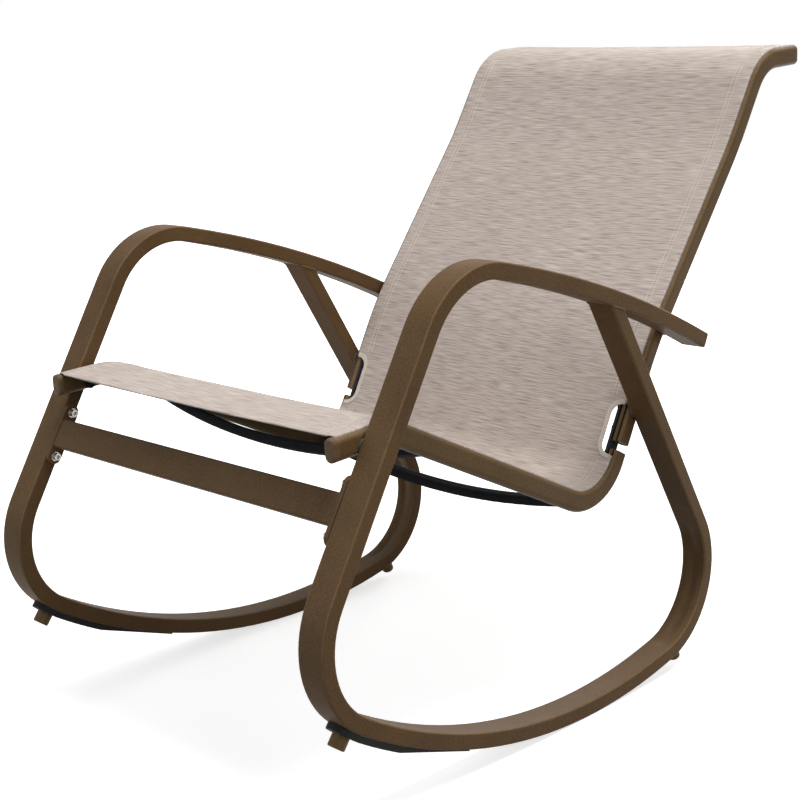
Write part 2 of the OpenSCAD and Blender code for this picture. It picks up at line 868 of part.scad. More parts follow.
// End plug: a plate with a rounded edge and a tongue in the rail's chamber, z pointing out of the rail
module rail_plug() {
  layer = 0.1;
  hull() {
    linear_extrude(rail_cap_plate - rail_cap_edge)
      stadium(rail_high, rail_thick, $fn = 32);
    for (angle = [30 : 30 : 90])
      translate([0, 0, rail_cap_plate - rail_cap_edge * (1 - sin(angle)) - layer])
        linear_extrude(layer)
          stadium(
            rail_high - 2 * rail_cap_edge * (1 - cos(angle)),
            rail_thick - 2 * rail_cap_edge * (1 - cos(angle)),
            $fn = 32
          );
  }
  translate([0, 0, -plug_length])
    linear_extrude(plug_length + rail_cap_edge)
      chamber_outline(slip / 2);
}

module seat_rail_cap() {
  color(fitting_black)
    side_view()
      at(seat_poses[0])
        translate([0, 0, rail_mid_x])
          mirror([1, 0, 0])
            rotate([90, 0, 90])
              rail_plug();
}

module back_rail_cap() {
  color(fitting_black)
    side_view()
      at(top_pose)
        translate([0, 0, rail_mid_x])
          rotate([90, 0, 90])
            rail_plug();
}

// Sling

// The sag in straight steps across: the upper face's height over the rail's line at step i
function sag_n(i) = sling_mid_n + sling_sag * pow(i / sag_steps, 2);
function sag_point(i, off) = [sag_n(i) + off, i * rail_mid_x / sag_steps];

// The sling's cross-section, made thicker by above and below, and cut off at its half width
module sheet_section(half_width, above, below) {
  reach = sag_steps + 2;
  intersection() {
    polygon(concat(
      [for (i = [-reach : reach]) sag_point(i, above)],
      [for (i = [-reach : reach]) sag_point(-i, -sling_thick - below)]
    ));
    translate([sling_mid_n - sling_sag, -half_width])
      square([4 * sling_sag + rail_high, 2 * half_width]);
  }
}

// The edge: a tail down through the groove's mouth and a pocket round the rod
module pocket_section() {
  translate([groove_n, rail_mid_x])
    difference() {
      circle(pocket_inner + sling_thick + $grow);
      circle(pocket_inner - $grow);
    }
  translate([groove_n + pocket_inner, rail_mid_x + mouth_offset - sling_thick / 2 - $grow])
    square([sling_edge_n - groove_n - pocket_inner - sling_thick / 2, sling_thick + 2 * $grow]);
}

module sling_section() {
  sheet_section(sling_edge_x + $grow, $grow, $grow);
  pocket_section();
  mirror([0, 1])
    pocket_section();
}

// The path of the whole sling, from its front hem to its top hem
sling_run = concat(
  [[seat_front_length - sling_end_gap, 0]],
  [for (i = [1 : 3]) seat_run[i]],
  [[seat_stub + rail_gap + lumbar_length, 0]],
  [for (i = [1 : 5]) back_run[i]],
  [[top_end_length - sling_end_gap, 0]]
);
sling_poses = walk(straight_end(seat_poses[0], sling_end_gap), sling_run);
sling_last_pose = sling_poses[len(sling_run)];

// A turned hem: a second layer under the sling between the rails
module hem(pose) {
  sweep_piece(straight_end(pose, seat_play), [hem_length - 2 * seat_play, 0])
    sheet_section(rail_inner_x - slip, -sling_thick / 2, sling_thick);
}

// A prism through the sling at the rail joint, seen square to the sling
module joint_prism(grow) {
  long = cutout_length + 2 * grow;
  corner = cutout_corner + grow;
  inner_x = sling_edge_x - cutout_depth - grow;
  at(crook_end_pose)
    translate([cutout_start + cutout_length / 2, 0, 0])
      rotate([90, 0, 0])
        linear_extrude(4 * rail_high, center = true) {
          translate([-long / 2 + corner, inner_x])
            square([long - 2 * corner, 2 * cutout_depth]);
          translate([-long / 2, inner_x + corner])
            square([long, 2 * cutout_depth - corner]);
          for (s = [-1, 1])
            translate([s * (long / 2 - corner), inner_x + corner])
              circle(corner);
        }
}

module sling() {
  color(sling_taupe)
    side_view()
      difference() {
        union() {
          sweep_run(sling_poses, sling_run)
            sling_section();
          hem(sling_poses[0]);
          hem(straight_end(sling_last_pose, -hem_length));
        }
        for (side = [0, 1])
          mirror([0, 0, side])
            joint_prism(0);
      }
}

// Binding round a cut-out, folded over the sling's cut edge
module cutout_trim() {
  trim_run = [for (i = [3 : 4]) sling_run[i]];
  trim_poses = [for (i = [3 : 4]) sling_poses[i]];
  color(trim_cream)
    side_view()
      difference() {
        intersection() {
          sweep_run(trim_poses, trim_run)
            sheet_section(rail_inner_x, trim_thick + $grow, trim_thick + $grow);
          joint_prism(trim_width);
        }
        joint_prism(-trim_thick);
        difference() {
          sweep_run(trim_poses, trim_run)
            sheet_section(2 * rail_mid_x, 2 * $grow, 2 * $grow);
          joint_prism(0);
        }
      }
}

// Welt rods

module rod_section() {
  translate([groove_n, 0])
    circle(rod_diameter / 2 + $grow);
}

module seat_rod() {
  run = concat(
    [[seat_front_length - sling_end_gap, 0]],
    [for (i = [1 : 2]) seat_run[i]],
    [[crook_radius, crook_turn - 4]]
  );
  color(fitting_black)
    side_view()
      translate([0, 0, rail_mid_x])
        sweep_run(walk(sling_poses[0], run), run)
          rod_section();
}

module back_rod() {
  start = cutout_start + cutout_length + trim_width;
  run = concat(
    [[seat_stub + rail_gap + lumbar_length - start, 0]],
    [for (i = [1 : 5]) back_run[i]],
    [[top_end_length - sling_end_gap, 0]]
  );
  color(fitting_black)
    side_view()
      translate([0, 0, rail_mid_x])
        sweep_run(walk(straight_end(crook_end_pose, start), run), run)
          rod_section();
}

// Joint brackets and frame bolts

module joint_bracket() {
  long = round(bracket_start + rear_bolt_along + bracket_end);
  color(fitting_black)
    side_view()
      difference() {
        at(bracket_pose)
          translate([long / 2 - bracket_start, 0, rail_seat_x - bracket_thick])
            linear_extrude(bracket_thick)
              rounded_rectangle(long, bracket_wide, bracket_wide / 4);
        for (pose = bracket_bolt_poses)
          at(pose)
            cylinder(r = bracket_shank / 2 + slip / 2, h = beyond);
        at(rear_leg_bolt)
          cylinder(r = frame_shank / 2 + slip, h = beyond);
      }
}

// A low round bolt head with a rounded rim, z pointing into the joint
module round_head(diameter, high) {
  rim = high / 2;
  translate([0, 0, -high + rim])
    cylinder(r = diameter / 2, h = high - rim);
  translate([0, 0, -high])
    cylinder(r = diameter / 2 - rim, h = high);
  translate([0, 0, -high + rim])
    rotate_extrude()
      translate([diameter / 2 - rim, 0])
        circle(rim);
}

module on_both_sides() {
  for (side = [0, 1])
    mirror([0, 0, side])
      children();
}

module bracket_bolts() {
  color(fitting_black)
    side_view()
      on_both_sides()
        for (pose = bracket_bolt_poses)
          at(pose)
            translate([0, 0, rail_seat_x - bracket_thick]) {
              cylinder(r = bracket_shank / 2, h = bracket_thick + rail_thick / 2);
              round_head(bracket_head, bracket_head_high);
            }
}

module bracket_nuts() {
  color(bolt_silver)
    side_view()
      on_both_sides()
        for (pose = bracket_bolt_poses)
          at(pose)
            translate([0, 0, rail_inner_x])
              difference() {
                cylinder(r = bracket_shank / 2 + nut_wall, h = rail_thick / 2 + rail_wall);
                cylinder(r = bracket_shank / 2 + 0.05, h = rail_thick + 2, center = true);
              }
}

module frame_bolt(head_x) {
  translate([0, 0, head_x]) {
    cylinder(r = frame_shank / 2, h = frame_inner_x + nut_length - head_x);
    round_head(frame_head, frame_head_high);
  }
}

module frame_bolts() {
  color(fitting_black)
    side_view()
      on_both_sides() {
        at(front_leg_bolt)
          frame_bolt(rail_seat_x);
        at(rear_leg_bolt)
          frame_bolt(rail_seat_x - bracket_thick);
        at(arm_bolt)
          frame_bolt(rail_seat_x);
      }
}

// A ring between rail and side frame, with a wider bore over the rivet nut's flange
module frame_spacer() {
  difference() {
    translate([0, 0, rail_outer_x + seat_play])
      cylinder(r = spacer_diameter / 2, h = rail_space - 2 * seat_play);
    cylinder(r = frame_shank / 2 + slip, h = beyond);
    translate([0, 0, frame_inner_x - nut_flange - slip])
      cylinder(r = frame_shank / 2 + nut_wall + nut_lip + slip, h = beyond);
  }
}

module frame_spacers() {
  color(fitting_black)
    side_view()
      on_both_sides()
        for (pose = frame_bolt_poses)
          at(pose)
            frame_spacer();
}

module frame_nuts() {
  color(bolt_silver)
    side_view()
      on_both_sides()
        for (pose = frame_bolt_poses)
          at(pose)
            translate([0, 0, frame_inner_x])
              rivet_nut(frame_shank);
}

// Spreader bars

// A bow from rail to rail: its section is swept in the plane across the rail's path
module bow(spreader, shrink) {
  half = rail_seat_x;
  radius = (half * half + spreader[1] * spreader[1]) / (2 * spreader[1]);
  half_angle = asin(half / radius) + 2;
  at(spreader[0])
    translate([0, radius - spreader[1] - spreader_drop, 0])
      rotate([0, 90, 0])
        rotate([0, 0, 270 - half_angle])
          rotate_extrude(angle = 2 * half_angle, $fn = 720)
            translate([radius, 0])
              rotate([0, 0, 90])
                stadium(spreader_wide - 2 * shrink, spreader_high - 2 * shrink);
}

// A slab across the chair between two planes
module across_slab(spreader, inner_x, outer_x) {
  at(spreader[0])
    translate([-spreader_wide, -beyond / 2, inner_x])
      cube([2 * spreader_wide, beyond, outer_x - inner_x]);
}

module spreader_bar(spreader) {
  end_x = rail_seat_x - spreader_flange;
  color(fitting_black)
    side_view()
      intersection() {
        difference() {
          bow(spreader, 0);
          bow(spreader, spreader_wall);
        }
        across_slab(spreader, -end_x, end_x);
      }
}

module spreader_plug(spreader) {
  end_x = rail_seat_x - spreader_flange;
  intersection() {
    bow(spreader, 0);
    across_slab(spreader, end_x, rail_seat_x);
  }
  intersection() {
    bow(spreader, spreader_wall + slip / 2);
    across_slab(spreader, end_x - plug_length, end_x);
  }
  at(spreader[0])
    translate([0, -spreader_drop, end_x])
      cylinder(r = spreader_spigot / 2, h = spreader_flange + rail_wall + 2);
}

module spreader_plugs() {
  color(fitting_black)
    side_view()
      on_both_sides()
        for (spreader = spreader_list)
          spreader_plug(spreader);
}

side_frame();  // frame_right
mirrored() side_frame();  // frame_left
arm_cap();  // arm_cap_right
mirrored() arm_cap();  // arm_cap_left
runner_strip();  // runner_strip_right
mirrored() runner_strip();  // runner_strip_left
front_stop();  // front_stop_right
mirrored() front_stop();  // front_stop_left
rear_stop();  // rear_stop_right
mirrored() rear_stop();  // rear_stop_left
front_stretcher();
stretcher_bolts();
stretcher_washers();
stretcher_nuts();
seat_rail();  // seat_rail_right
mirrored() seat_rail();  // seat_rail_left
back_rail();  // back_rail_right
mirrored() back_rail();  // back_rail_left
seat_rail_cap();  // seat_rail_cap_right
mirrored() seat_rail_cap();  // seat_rail_cap_left
back_rail_cap();  // back_rail_cap_right
mirrored() back_rail_cap();  // back_rail_cap_left
sling();
cutout_trim();  // cutout_trim_right
mirrored() cutout_trim();  // cutout_trim_left
seat_rod();  // seat_rod_right
mirrored() seat_rod();  // seat_rod_left
back_rod();  // back_rod_right
mirrored() back_rod();  // back_rod_left
joint_bracket();  // joint_bracket_right
mirrored() joint_bracket();  // joint_bracket_left
bracket_bolts();
bracket_nuts();
frame_bolts();
frame_spacers();
frame_nuts();
spreader_bar(spreader_list[0]);  // front_seat_spreader
spreader_bar(spreader_list[1]);  // rear_seat_spreader
spreader_bar(spreader_list[2]);  // lower_back_spreader
spreader_bar(spreader_list[3]);  // upper_back_spreader
spreader_plugs();
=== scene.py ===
"""Dresses the outdoor sling rocking chair: woven sling, stitching, tape, weld beads, finishes, light and camera.

Everything is in metres in the row frame: +Z up, -Y the chair's front, +X the near side of the photograph.
"""

from __future__ import annotations

import logging
import math
from bisect import bisect_left
from dataclasses import dataclass, field
from enum import Enum
from functools import reduce
from typing import Sequence

import bpy
import numpy as np
from mathutils import Euler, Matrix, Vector
from mathutils.geometry import delaunay_2d_cdt


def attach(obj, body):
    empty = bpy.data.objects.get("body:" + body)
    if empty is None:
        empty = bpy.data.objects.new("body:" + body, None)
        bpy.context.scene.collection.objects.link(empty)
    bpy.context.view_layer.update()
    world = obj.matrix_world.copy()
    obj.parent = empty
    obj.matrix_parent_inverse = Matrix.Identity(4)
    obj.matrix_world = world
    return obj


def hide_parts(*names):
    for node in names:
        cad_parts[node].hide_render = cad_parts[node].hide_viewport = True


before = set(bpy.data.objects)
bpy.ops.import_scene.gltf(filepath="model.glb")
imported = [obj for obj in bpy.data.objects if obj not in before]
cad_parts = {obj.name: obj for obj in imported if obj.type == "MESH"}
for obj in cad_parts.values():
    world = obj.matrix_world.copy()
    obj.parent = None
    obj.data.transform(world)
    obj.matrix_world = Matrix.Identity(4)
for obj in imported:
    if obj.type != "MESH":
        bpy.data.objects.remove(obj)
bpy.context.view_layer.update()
LOG = logging.getLogger("rocking_chair")
BODY = "root"
MM = 0.001

Point = tuple[float, float, float]
Flat = tuple[float, float]
Colour = tuple[float, float, float, float]
Socket = bpy.types.NodeSocket
Object = bpy.types.Object
Sockets = dict[str, Socket]


# ---- side view


@dataclass(frozen=True)
class Pose:
    """A place on the chair's side view: y towards the back, z up, and the heading of a run in degrees."""

    y: float
    z: float
    heading: float

    def ahead(self, far: float) -> Pose:
        """The pose a distance further along a straight."""
        turn = math.radians(self.heading)
        return Pose(self.y + far * math.cos(turn), self.z + far * math.sin(turn), self.heading)

    def aside(self, off: float) -> Pose:
        """The pose moved square to the heading, to its left."""
        turn = math.radians(self.heading)
        return Pose(self.y - off * math.sin(turn), self.z + off * math.cos(turn), self.heading)

    def round_bend(self, radius: float, turn: float) -> Pose:
        """The pose after a bend.

        Args:
            radius: the bend's radius on the run's line.
            turn: degrees, positive to the left.
        Returns:
            The pose at the bend's end.
        """
        side = math.copysign(radius, turn)
        centre = self.aside(side)
        return Pose(centre.y, centre.z, self.heading + turn).aside(-side)


@dataclass(frozen=True)
class Piece:
    """One straight or bend of a run: length or radius in metres, and the turn in degrees (0 for a straight)."""

    size: float
    turn: float = 0.0

    @property
    def length(self) -> float:
        """Length along the run's line."""
        return self.size if self.turn == 0 else self.size * math.radians(abs(self.turn))

    def part(self, pose: Pose, far: float) -> Pose:
        """The pose a distance along this piece from its start pose."""
        if self.turn == 0:
            return pose.ahead(far)
        return pose.round_bend(self.size, math.copysign(math.degrees(far / self.size), self.turn))


class Run:
    """A line of straights and bends on the side view, walked by its length."""

    def __init__(self, start: Pose, pieces: Sequence[Piece]) -> None:
        """Walks the pieces once and keeps each one's start.

        Args:
            start: the pose of the run's first point.
            pieces: the straights and bends in order.
        """
        self.pieces = list(pieces)
        self.starts = [start]
        self.marks = [0.0]
        for piece in self.pieces:
            self.starts.append(piece.part(self.starts[-1], piece.length))
            self.marks.append(self.marks[-1] + piece.length)

    @property
    def length(self) -> float:
        """The whole length."""
        return self.marks[-1]

    def pose(self, s: float) -> Pose:
        """The pose at length s, running straight on past either end.

        Args:
            s: length from the run's start.
        Returns:
            The pose.
        """
        if s < 0:
            return self.starts[0].ahead(s)
        if s > self.length:
            return self.starts[-1].ahead(s - self.length)
        i = bisect_left(self.marks, s, 1) - 1
        return self.pieces[i].part(self.starts[i], s - self.marks[i])


@dataclass(frozen=True)
class ChairLines:
    """The lines of the side view that the dressed pieces follow, the same as the CAD's, in metres."""

    depth_middle: float = 15.928 * MM
    seat_start: Pose = Pose(-454 * MM, 457.3 * MM, 4.0)
    seat: tuple[Piece, ...] = (
        Piece(63 * MM), Piece(108 * MM, -28.1), Piece(375 * MM), Piece(80 * MM, 87.5), Piece(12 * MM),
    )
    rail_gap: float = 12.5 * MM
    back: tuple[Piece, ...] = (
        Piece(106.5 * MM), Piece(540 * MM, -9.7), Piece(258 * MM), Piece(620 * MM, 5.9),
        Piece(71 * MM), Piece(79 * MM, -54.3), Piece(51 * MM),
    )

    def sling_run(self, end_gap: float) -> Run:
        """The sling's line from front hem to top hem.

        Args:
            end_gap: how far each end stops short of its rail's end.
        Returns:
            The run.
        """
        stub = Piece(self.seat[4].size + self.rail_gap + self.back[0].size)
        pieces = (Piece(self.seat[0].size - end_gap), *self.seat[1:4], stub, *self.back[1:6])
        return Run(self.seat_start.ahead(end_gap), (*pieces, Piece(self.back[6].size - end_gap)))

    def crook_end(self) -> float:
        """Length along the seat's line to the end of the crook."""
        return sum(piece.length for piece in self.seat[:4])

    def place(self, pose: Pose, x: float) -> Point:
        """A point of the row frame for a side-view pose and a distance across the chair."""
        return (x, pose.y - self.depth_middle, pose.z)


LINES = ChairLines()


@dataclass(frozen=True)
class TubeBend:
    """One tight bend of the side frame's tube: its centre, the heading at its middle and its turn in degrees."""

    centre: Pose
    turn: float
    inner: float = 107 * MM

    @property
    def middle(self) -> Point:
        """The way from the centre to the middle of the bend."""
        way = Pose(0.0, 0.0, self.centre.heading).aside(-1.0)
        return (0.0, way.y, way.z)


TUBE_BENDS = (
    TubeBend(Pose(-237.5 * MM, 526.1 * MM, -154.85), 71.9),
    TubeBend(Pose(-396.9 * MM, 237.2 * MM, -74.7), 88.4),
    TubeBend(Pose(170.6 * MM, 147.9 * MM, 68.3), 111.4),
)


# ---- mesh helpers


def smooth_noise(count: int, step: int, seed: int) -> np.ndarray:
    """A smooth random row of values from -1 to 1.

    Args:
        count: how many values.
        step: how many values lie between two random knots.
        seed: the random seed.
    Returns:
        The values.
    """
    random = np.random.default_rng(seed)
    knots = random.uniform(-1, 1, count // step + 3)
    at = np.arange(count) / step
    low = at.astype(int)
    share = at - low
    share = share * share * (3 - 2 * share)
    return knots[low] * (1 - share) + knots[low + 1] * share


def new_mesh(name: str, points: Sequence[Point], faces: Sequence[Sequence[int]]) -> Object:
    """Makes a smooth mesh object and links it.

    Args:
        name: the piece's name.
        points: vertex places in metres.
        faces: vertex numbers of each face.
    Returns:
        The object.
    """
    mesh = bpy.data.meshes.new(name)
    mesh.from_pydata([tuple(p) for p in points], [], [tuple(f) for f in faces])
    mesh.validate()
    mesh.update()
    mesh.polygons.foreach_set("use_smooth", [True] * len(mesh.polygons))
    made = bpy.data.objects.new(name, mesh)
    bpy.context.scene.collection.objects.link(made)
    return made


def swept_tube(points: Sequence[Vector], radii: Sequence[float], sides: int, flat: float,
               up: Vector | None = None) -> tuple[list[Point], list[tuple[int, ...]]]:
    """A closed tube along points with round ends where the radius falls.

    Args:
        points: the centreline.
        radii: the radius at each point.
        sides: corners of the section.
        flat: height of the section over its width.
        up: the section's height direction; the line's own side where it is left out.
    Returns:
        Vertices and faces.
    """
    verts: list[Point] = []
    faces: list[tuple[int, ...]] = []
    last = len(points) - 1
    for i, (point, radius) in enumerate(zip(points, radii)):
        along = (points[min(i + 1, last)] - points[max(i - 1, 0)]).normalized()
        height = up if up is not None else (Vector((0, 0, 1)) if abs(along.z) < 0.9 else Vector((1, 0, 0)))
        side = along.cross(height).normalized()
        rise = side.cross(along).normalized()
        for k in range(sides):
            turn = 2 * math.pi * k / sides
            verts.append(tuple(point + side * (radius * math.cos(turn)) + rise * (radius * flat * math.sin(turn))))
    for i in range(last):
        for k in range(sides):
            a, b = i * sides + k, i * sides + (k + 1) % sides
            faces.append((a, b, b + sides, a + sides))
    faces.append(tuple(reversed(range(sides))))
    faces.append(tuple(range(last * sides, (last + 1) * sides)))
    return verts, faces


def measured(line: Sequence[Flat]) -> tuple[np.ndarray, np.ndarray]:
    """A flat line's points, and the length along it at each."""
    at = np.array(line)
    return at, np.concatenate([[0], np.cumsum(np.hypot(*np.diff(at, axis=0).T))])


def resampled(line: Sequence[Flat], count: int) -> list[Flat]:
    """The open line with a set number of points, the same share of its length apart."""
    at, far = measured(line)
    want = np.linspace(0, far[-1], count)
    return list(zip(*(np.interp(want, far, column) for column in at.T)))


def thicken(piece: Object, thick: float) -> None:
    """Gives a sheet its thickness, half to each side."""
    solid = piece.modifiers.new("thickness", "SOLIDIFY")
    solid.thickness, solid.offset = thick, 0.0


class MeshBag:
    """Collects the vertices and faces of many small parts into one mesh."""

    def __init__(self) -> None:
        """Starts empty."""
        self.points: list[Point] = []
        self.faces: list[tuple[int, ...]] = []

    def add(self, points: Sequence[Point], faces: Sequence[Sequence[int]]) -> None:
        """Adds one part."""
        base = len(self.points)
        self.points.extend(points)
        self.faces.extend(tuple(base + i for i in face) for face in faces)

    def build(self, name: str) -> Object:
        """Makes the object."""
        return new_mesh(name, self.points, self.faces)


# ---- node trees


class Tree:
    """A short way to lay out shader nodes in one tree."""

    def __init__(self, tree: bpy.types.NodeTree) -> None:
        """Keeps the tree."""
        self.tree = tree

    @classmethod
    def emptied(cls, owner: bpy.types.Material | bpy.types.World) -> Tree:
        """The node tree of a new material or world, with nothing in it yet."""
        owner.use_nodes = True
        owner.node_tree.nodes.clear()
        return cls(owner.node_tree)

    def node(self, kind: str, inputs: dict | None = None, **settings: object) -> bpy.types.Node:
        """Adds a node.

        Args:
            kind: Blender's node type, without its ShaderNode prefix.
            inputs: values or sockets for its inputs, by name or number.
            settings: values for its attributes.
        Returns:
            The node.
        """
        made = self.tree.nodes.new(kind if kind.startswith("Node") else "ShaderNode" + kind)
        for key, value in settings.items():
            setattr(made, key, value)
        for key, value in (inputs or {}).items():
            self.feed(made.inputs[key], value)
        return made

    def feed(self, socket: Socket, value: object) -> None:
        """Links a socket, or sets a plain value.

        Args:
            socket: the input to feed.
            value: an output socket, or a number or colour.
        """
        if isinstance(value, bpy.types.NodeSocket):
            self.tree.links.new(value, socket)
        else:
            socket.default_value = value

    def where(self) -> Socket:
        """The place on the object, in metres."""
        return self.node("TexCoord").outputs["Object"]

    def split(self, vector: Socket) -> Sequence[Socket]:
        """The x, y and z of a vector."""
        return self.node("SeparateXYZ", {0: vector}).outputs

    def join(self, **parts: object) -> Socket:
        """A vector from any of its X, Y and Z."""
        return self.node("CombineXYZ", parts).outputs[0]

    def math(self, operation: str, a: object, b: object = 0.0) -> Socket:
        """A Math node's result."""
        return self.node("Math", {0: a, 1: b}, operation=operation).outputs[0]

    def plus(self, a: object, b: object) -> Socket:
        """The sum of two values."""
        return self.math("ADD", a, b)

    def times(self, first: object, *others: object) -> Socket:
        """The product of two or more values."""
        return reduce(lambda a, b: self.math("MULTIPLY", a, b), others, first)

    def vector(self, operation: str, a: object, b: object = (0, 0, 0)) -> Socket:
        """A Vector Math node's result: a number for a length or a dot product, otherwise a vector."""
        made = self.node("VectorMath", {0: a, 1: b}, operation=operation)
        return made.outputs["Value" if operation in ("DOT_PRODUCT", "LENGTH") else "Vector"]

    def fit(self, value: object, low: float, high: float, to_low: float = 0.0, to_high: float = 1.0) -> Socket:
        """A clamped Map Range."""
        return self.node("MapRange", {0: value, 1: low, 2: high, 3: to_low, 4: to_high}).outputs[0]

    def blend(self, share: object, a: object, b: object) -> Socket:
        """A colour mix's result."""
        return self.node("Mix", {0: share, 6: a, 7: b}, data_type="RGBA").outputs[2]

    def noise(self, where: object, scale: float, detail: float = 2.0, rough: float = 0.5) -> Socket:
        """A noise texture's value."""
        given = {"Vector": where, "Scale": scale, "Detail": detail, "Roughness": rough}
        return self.node("TexNoise", given).outputs[0]

    def stretch(self, where: object, scale: Point) -> Socket:
        """A coordinate scaled by three numbers."""
        return self.node("Mapping", {"Vector": where, "Scale": scale}).outputs[0]

    def bump(self, height: Socket, strength: float, distance: float, over: dict | None = None) -> Socket:
        """A bumped normal, over the one that is given as Normal."""
        given = {"Strength": strength, "Distance": distance, "Height": height, **(over or {})}
        return self.node("Bump", given).outputs[0]


def colour(red: float, green: float, blue: float) -> Colour:
    """A linear colour from the 0 to 255 numbers that a picture shows."""
    parts = (c / 255 for c in (red, green, blue))
    return (*(p / 12.92 if p <= 0.04045 else ((p + 0.055) / 1.055) ** 2.4 for p in parts), 1.0)


# ---- shared effects


def lay_coat(tree: Tree, given: Sockets) -> Sockets:
    """Powder coat: orange-peel grain, faint cloudy tone and fine speckle.

    Args:
        tree: the group's tree.
        given: its inputs by name.
    Returns:
        Its outputs by name.
    """
    where = tree.where()
    peel = tree.noise(where, 1100.0, 2.0, 0.55)
    cloud = tree.noise(where, 9.0, 3.0, 0.6)
    speck = tree.fit(tree.noise(where, 700.0, 1.0), 0.6, 0.74)
    mottle = tree.plus(tree.times(cloud, 0.4), tree.times(tree.noise(where, 520.0), 0.6))
    tone = tree.blend(tree.fit(mottle, 0.38, 0.64), given["Base"], given["Cloud"])
    return {
        "Color": tree.blend(tree.times(speck, given["Speckle"]), tone, given["Fleck"]),
        "Roughness": tree.plus(given["Roughness"], tree.fit(peel, 0.3, 0.7, -0.05, 0.06)),
        "Height": tree.plus(peel, tree.times(cloud, 0.4)),
    }


def lay_wear_and_highlight(tree: Tree, given: Sockets) -> Sockets:
    """A mask of rubbed edges and of painted highlights along the corners of tubes that lie square to x, broken up
    by noise.

    Args:
        tree: the group's tree.
        given: its inputs by name.
    Returns:
        Its outputs by name.
    """
    soft = tree.node("Bevel", {"Radius": given["Radius"]}, samples=4).outputs[0]
    plain = tree.node("NewGeometry").outputs["Normal"]
    turned = tree.vector("DOT_PRODUCT", soft, plain)
    broken = tree.fit(tree.noise(tree.where(), 60.0, 4.0, 0.7), 0.42, 0.62)
    edge = tree.times(tree.fit(turned, 0.985, 0.86), broken, given["Amount"])
    # Painted highlight: where the normal turns partly away from x, the corner gets the light tone whatever the
    # lamps do
    aside = tree.math("ABSOLUTE", tree.split(plain)[0])
    corner = tree.times(tree.fit(aside, 0.15, 0.5), tree.fit(aside, 0.96, 0.8))
    ridge = tree.times(corner, tree.fit(broken, 0.0, 1.0, 0.6, 1.0), given["Corner"])
    return {"Mask": tree.math("MAXIMUM", edge, ridge)}


def lay_dust(tree: Tree, given: Sockets) -> Sockets:
    """A mask of dust that settles on faces that look up.

    Args:
        tree: the group's tree.
        given: its inputs by name.
    Returns:
        Its outputs by name.
    """
    up = tree.split(tree.node("NewGeometry").outputs["Normal"])[2]
    patchy = tree.fit(tree.noise(tree.where(), 24.0, 5.0, 0.65), 0.3, 0.75, 0.25, 1.0)
    return {"Mask": tree.times(tree.fit(up, 0.1, 0.95), patchy, given["Amount"])}


def lay_weave(tree: Tree, given: Sockets) -> Sockets:
    """Coated-yarn weave: thick crosswise yarns of mixed tones over thin lengthwise ones, with painted shade in the
    valleys between them.

    Args:
        tree: the group's tree.
        given: its inputs by name.
    Returns:
        Its outputs by name.
    """
    # The cloth's own map gives metres across and along
    across, along = tree.split(tree.node("UVMap", uv_map="cloth").outputs[0])[:2]
    row = tree.math("DIVIDE", along, given["Pitch"])
    warp = tree.math("DIVIDE", across, tree.times(given["Pitch"], 1.6))
    row_number, warp_number = (tree.math("FLOOR", yarn) for yarn in (row, warp))
    ridge, cross = (tree.math("ABSOLUTE", tree.math("SINE", tree.times(yarn, math.pi))) for yarn in (row, warp))
    parity = tree.math("ABSOLUTE", tree.math("MODULO", tree.plus(row_number, warp_number), 2.0))
    under = tree.times(parity, tree.math("SUBTRACT", 1.0, cross))
    height = tree.math("SUBTRACT", ridge, tree.times(under, 0.8))
    # Each yarn has runs of paler and darker coating along it
    streak = tree.noise(tree.join(X=tree.times(across, 36.0), Y=tree.times(row_number, 7.31)), 1.0, 1.0)
    band = tree.noise(tree.join(X=tree.times(across, 28.0), Y=tree.times(along, 700.0)), 1.0, 1.0)
    shade = tree.plus(tree.times(streak, 0.35), tree.times(band, 0.65))
    yarn = tree.blend(tree.fit(shade, 0.36, 0.52), given["Dark"], given["Base"])
    yarn = tree.blend(tree.fit(shade, 0.52, 0.68), yarn, given["Pale"])
    # The valleys between the yarns take a darker tone: painted shade between the yarns
    gap = tree.blend(0.55, given["Dark"], given["Base"])
    return {"Color": tree.blend(tree.fit(height, 0.0, 0.45), gap, yarn),
            "Roughness": tree.fit(shade, 0.35, 0.65, 0.72, 0.58), "Height": height}


def lay_scuff(tree: Tree, given: Sockets) -> Sockets:
    """Grey scuffs and dust on rubber and plastic, stretched along the chair's depth.

    Args:
        tree: the group's tree.
        given: its inputs by name.
    Returns:
        Its outputs by name.
    """
    where = tree.where()
    lines = tree.noise(tree.stretch(where, (240.0, 18.0, 240.0)), 1.0, 4.0, 0.7)
    mask = tree.times(tree.fit(lines, 0.54, 0.74), given["Amount"])
    return {"Color": tree.blend(mask, given["Base"], given["Scuffed"]),
            "Height": tree.plus(tree.noise(where, 900.0), tree.times(lines, 0.5))}


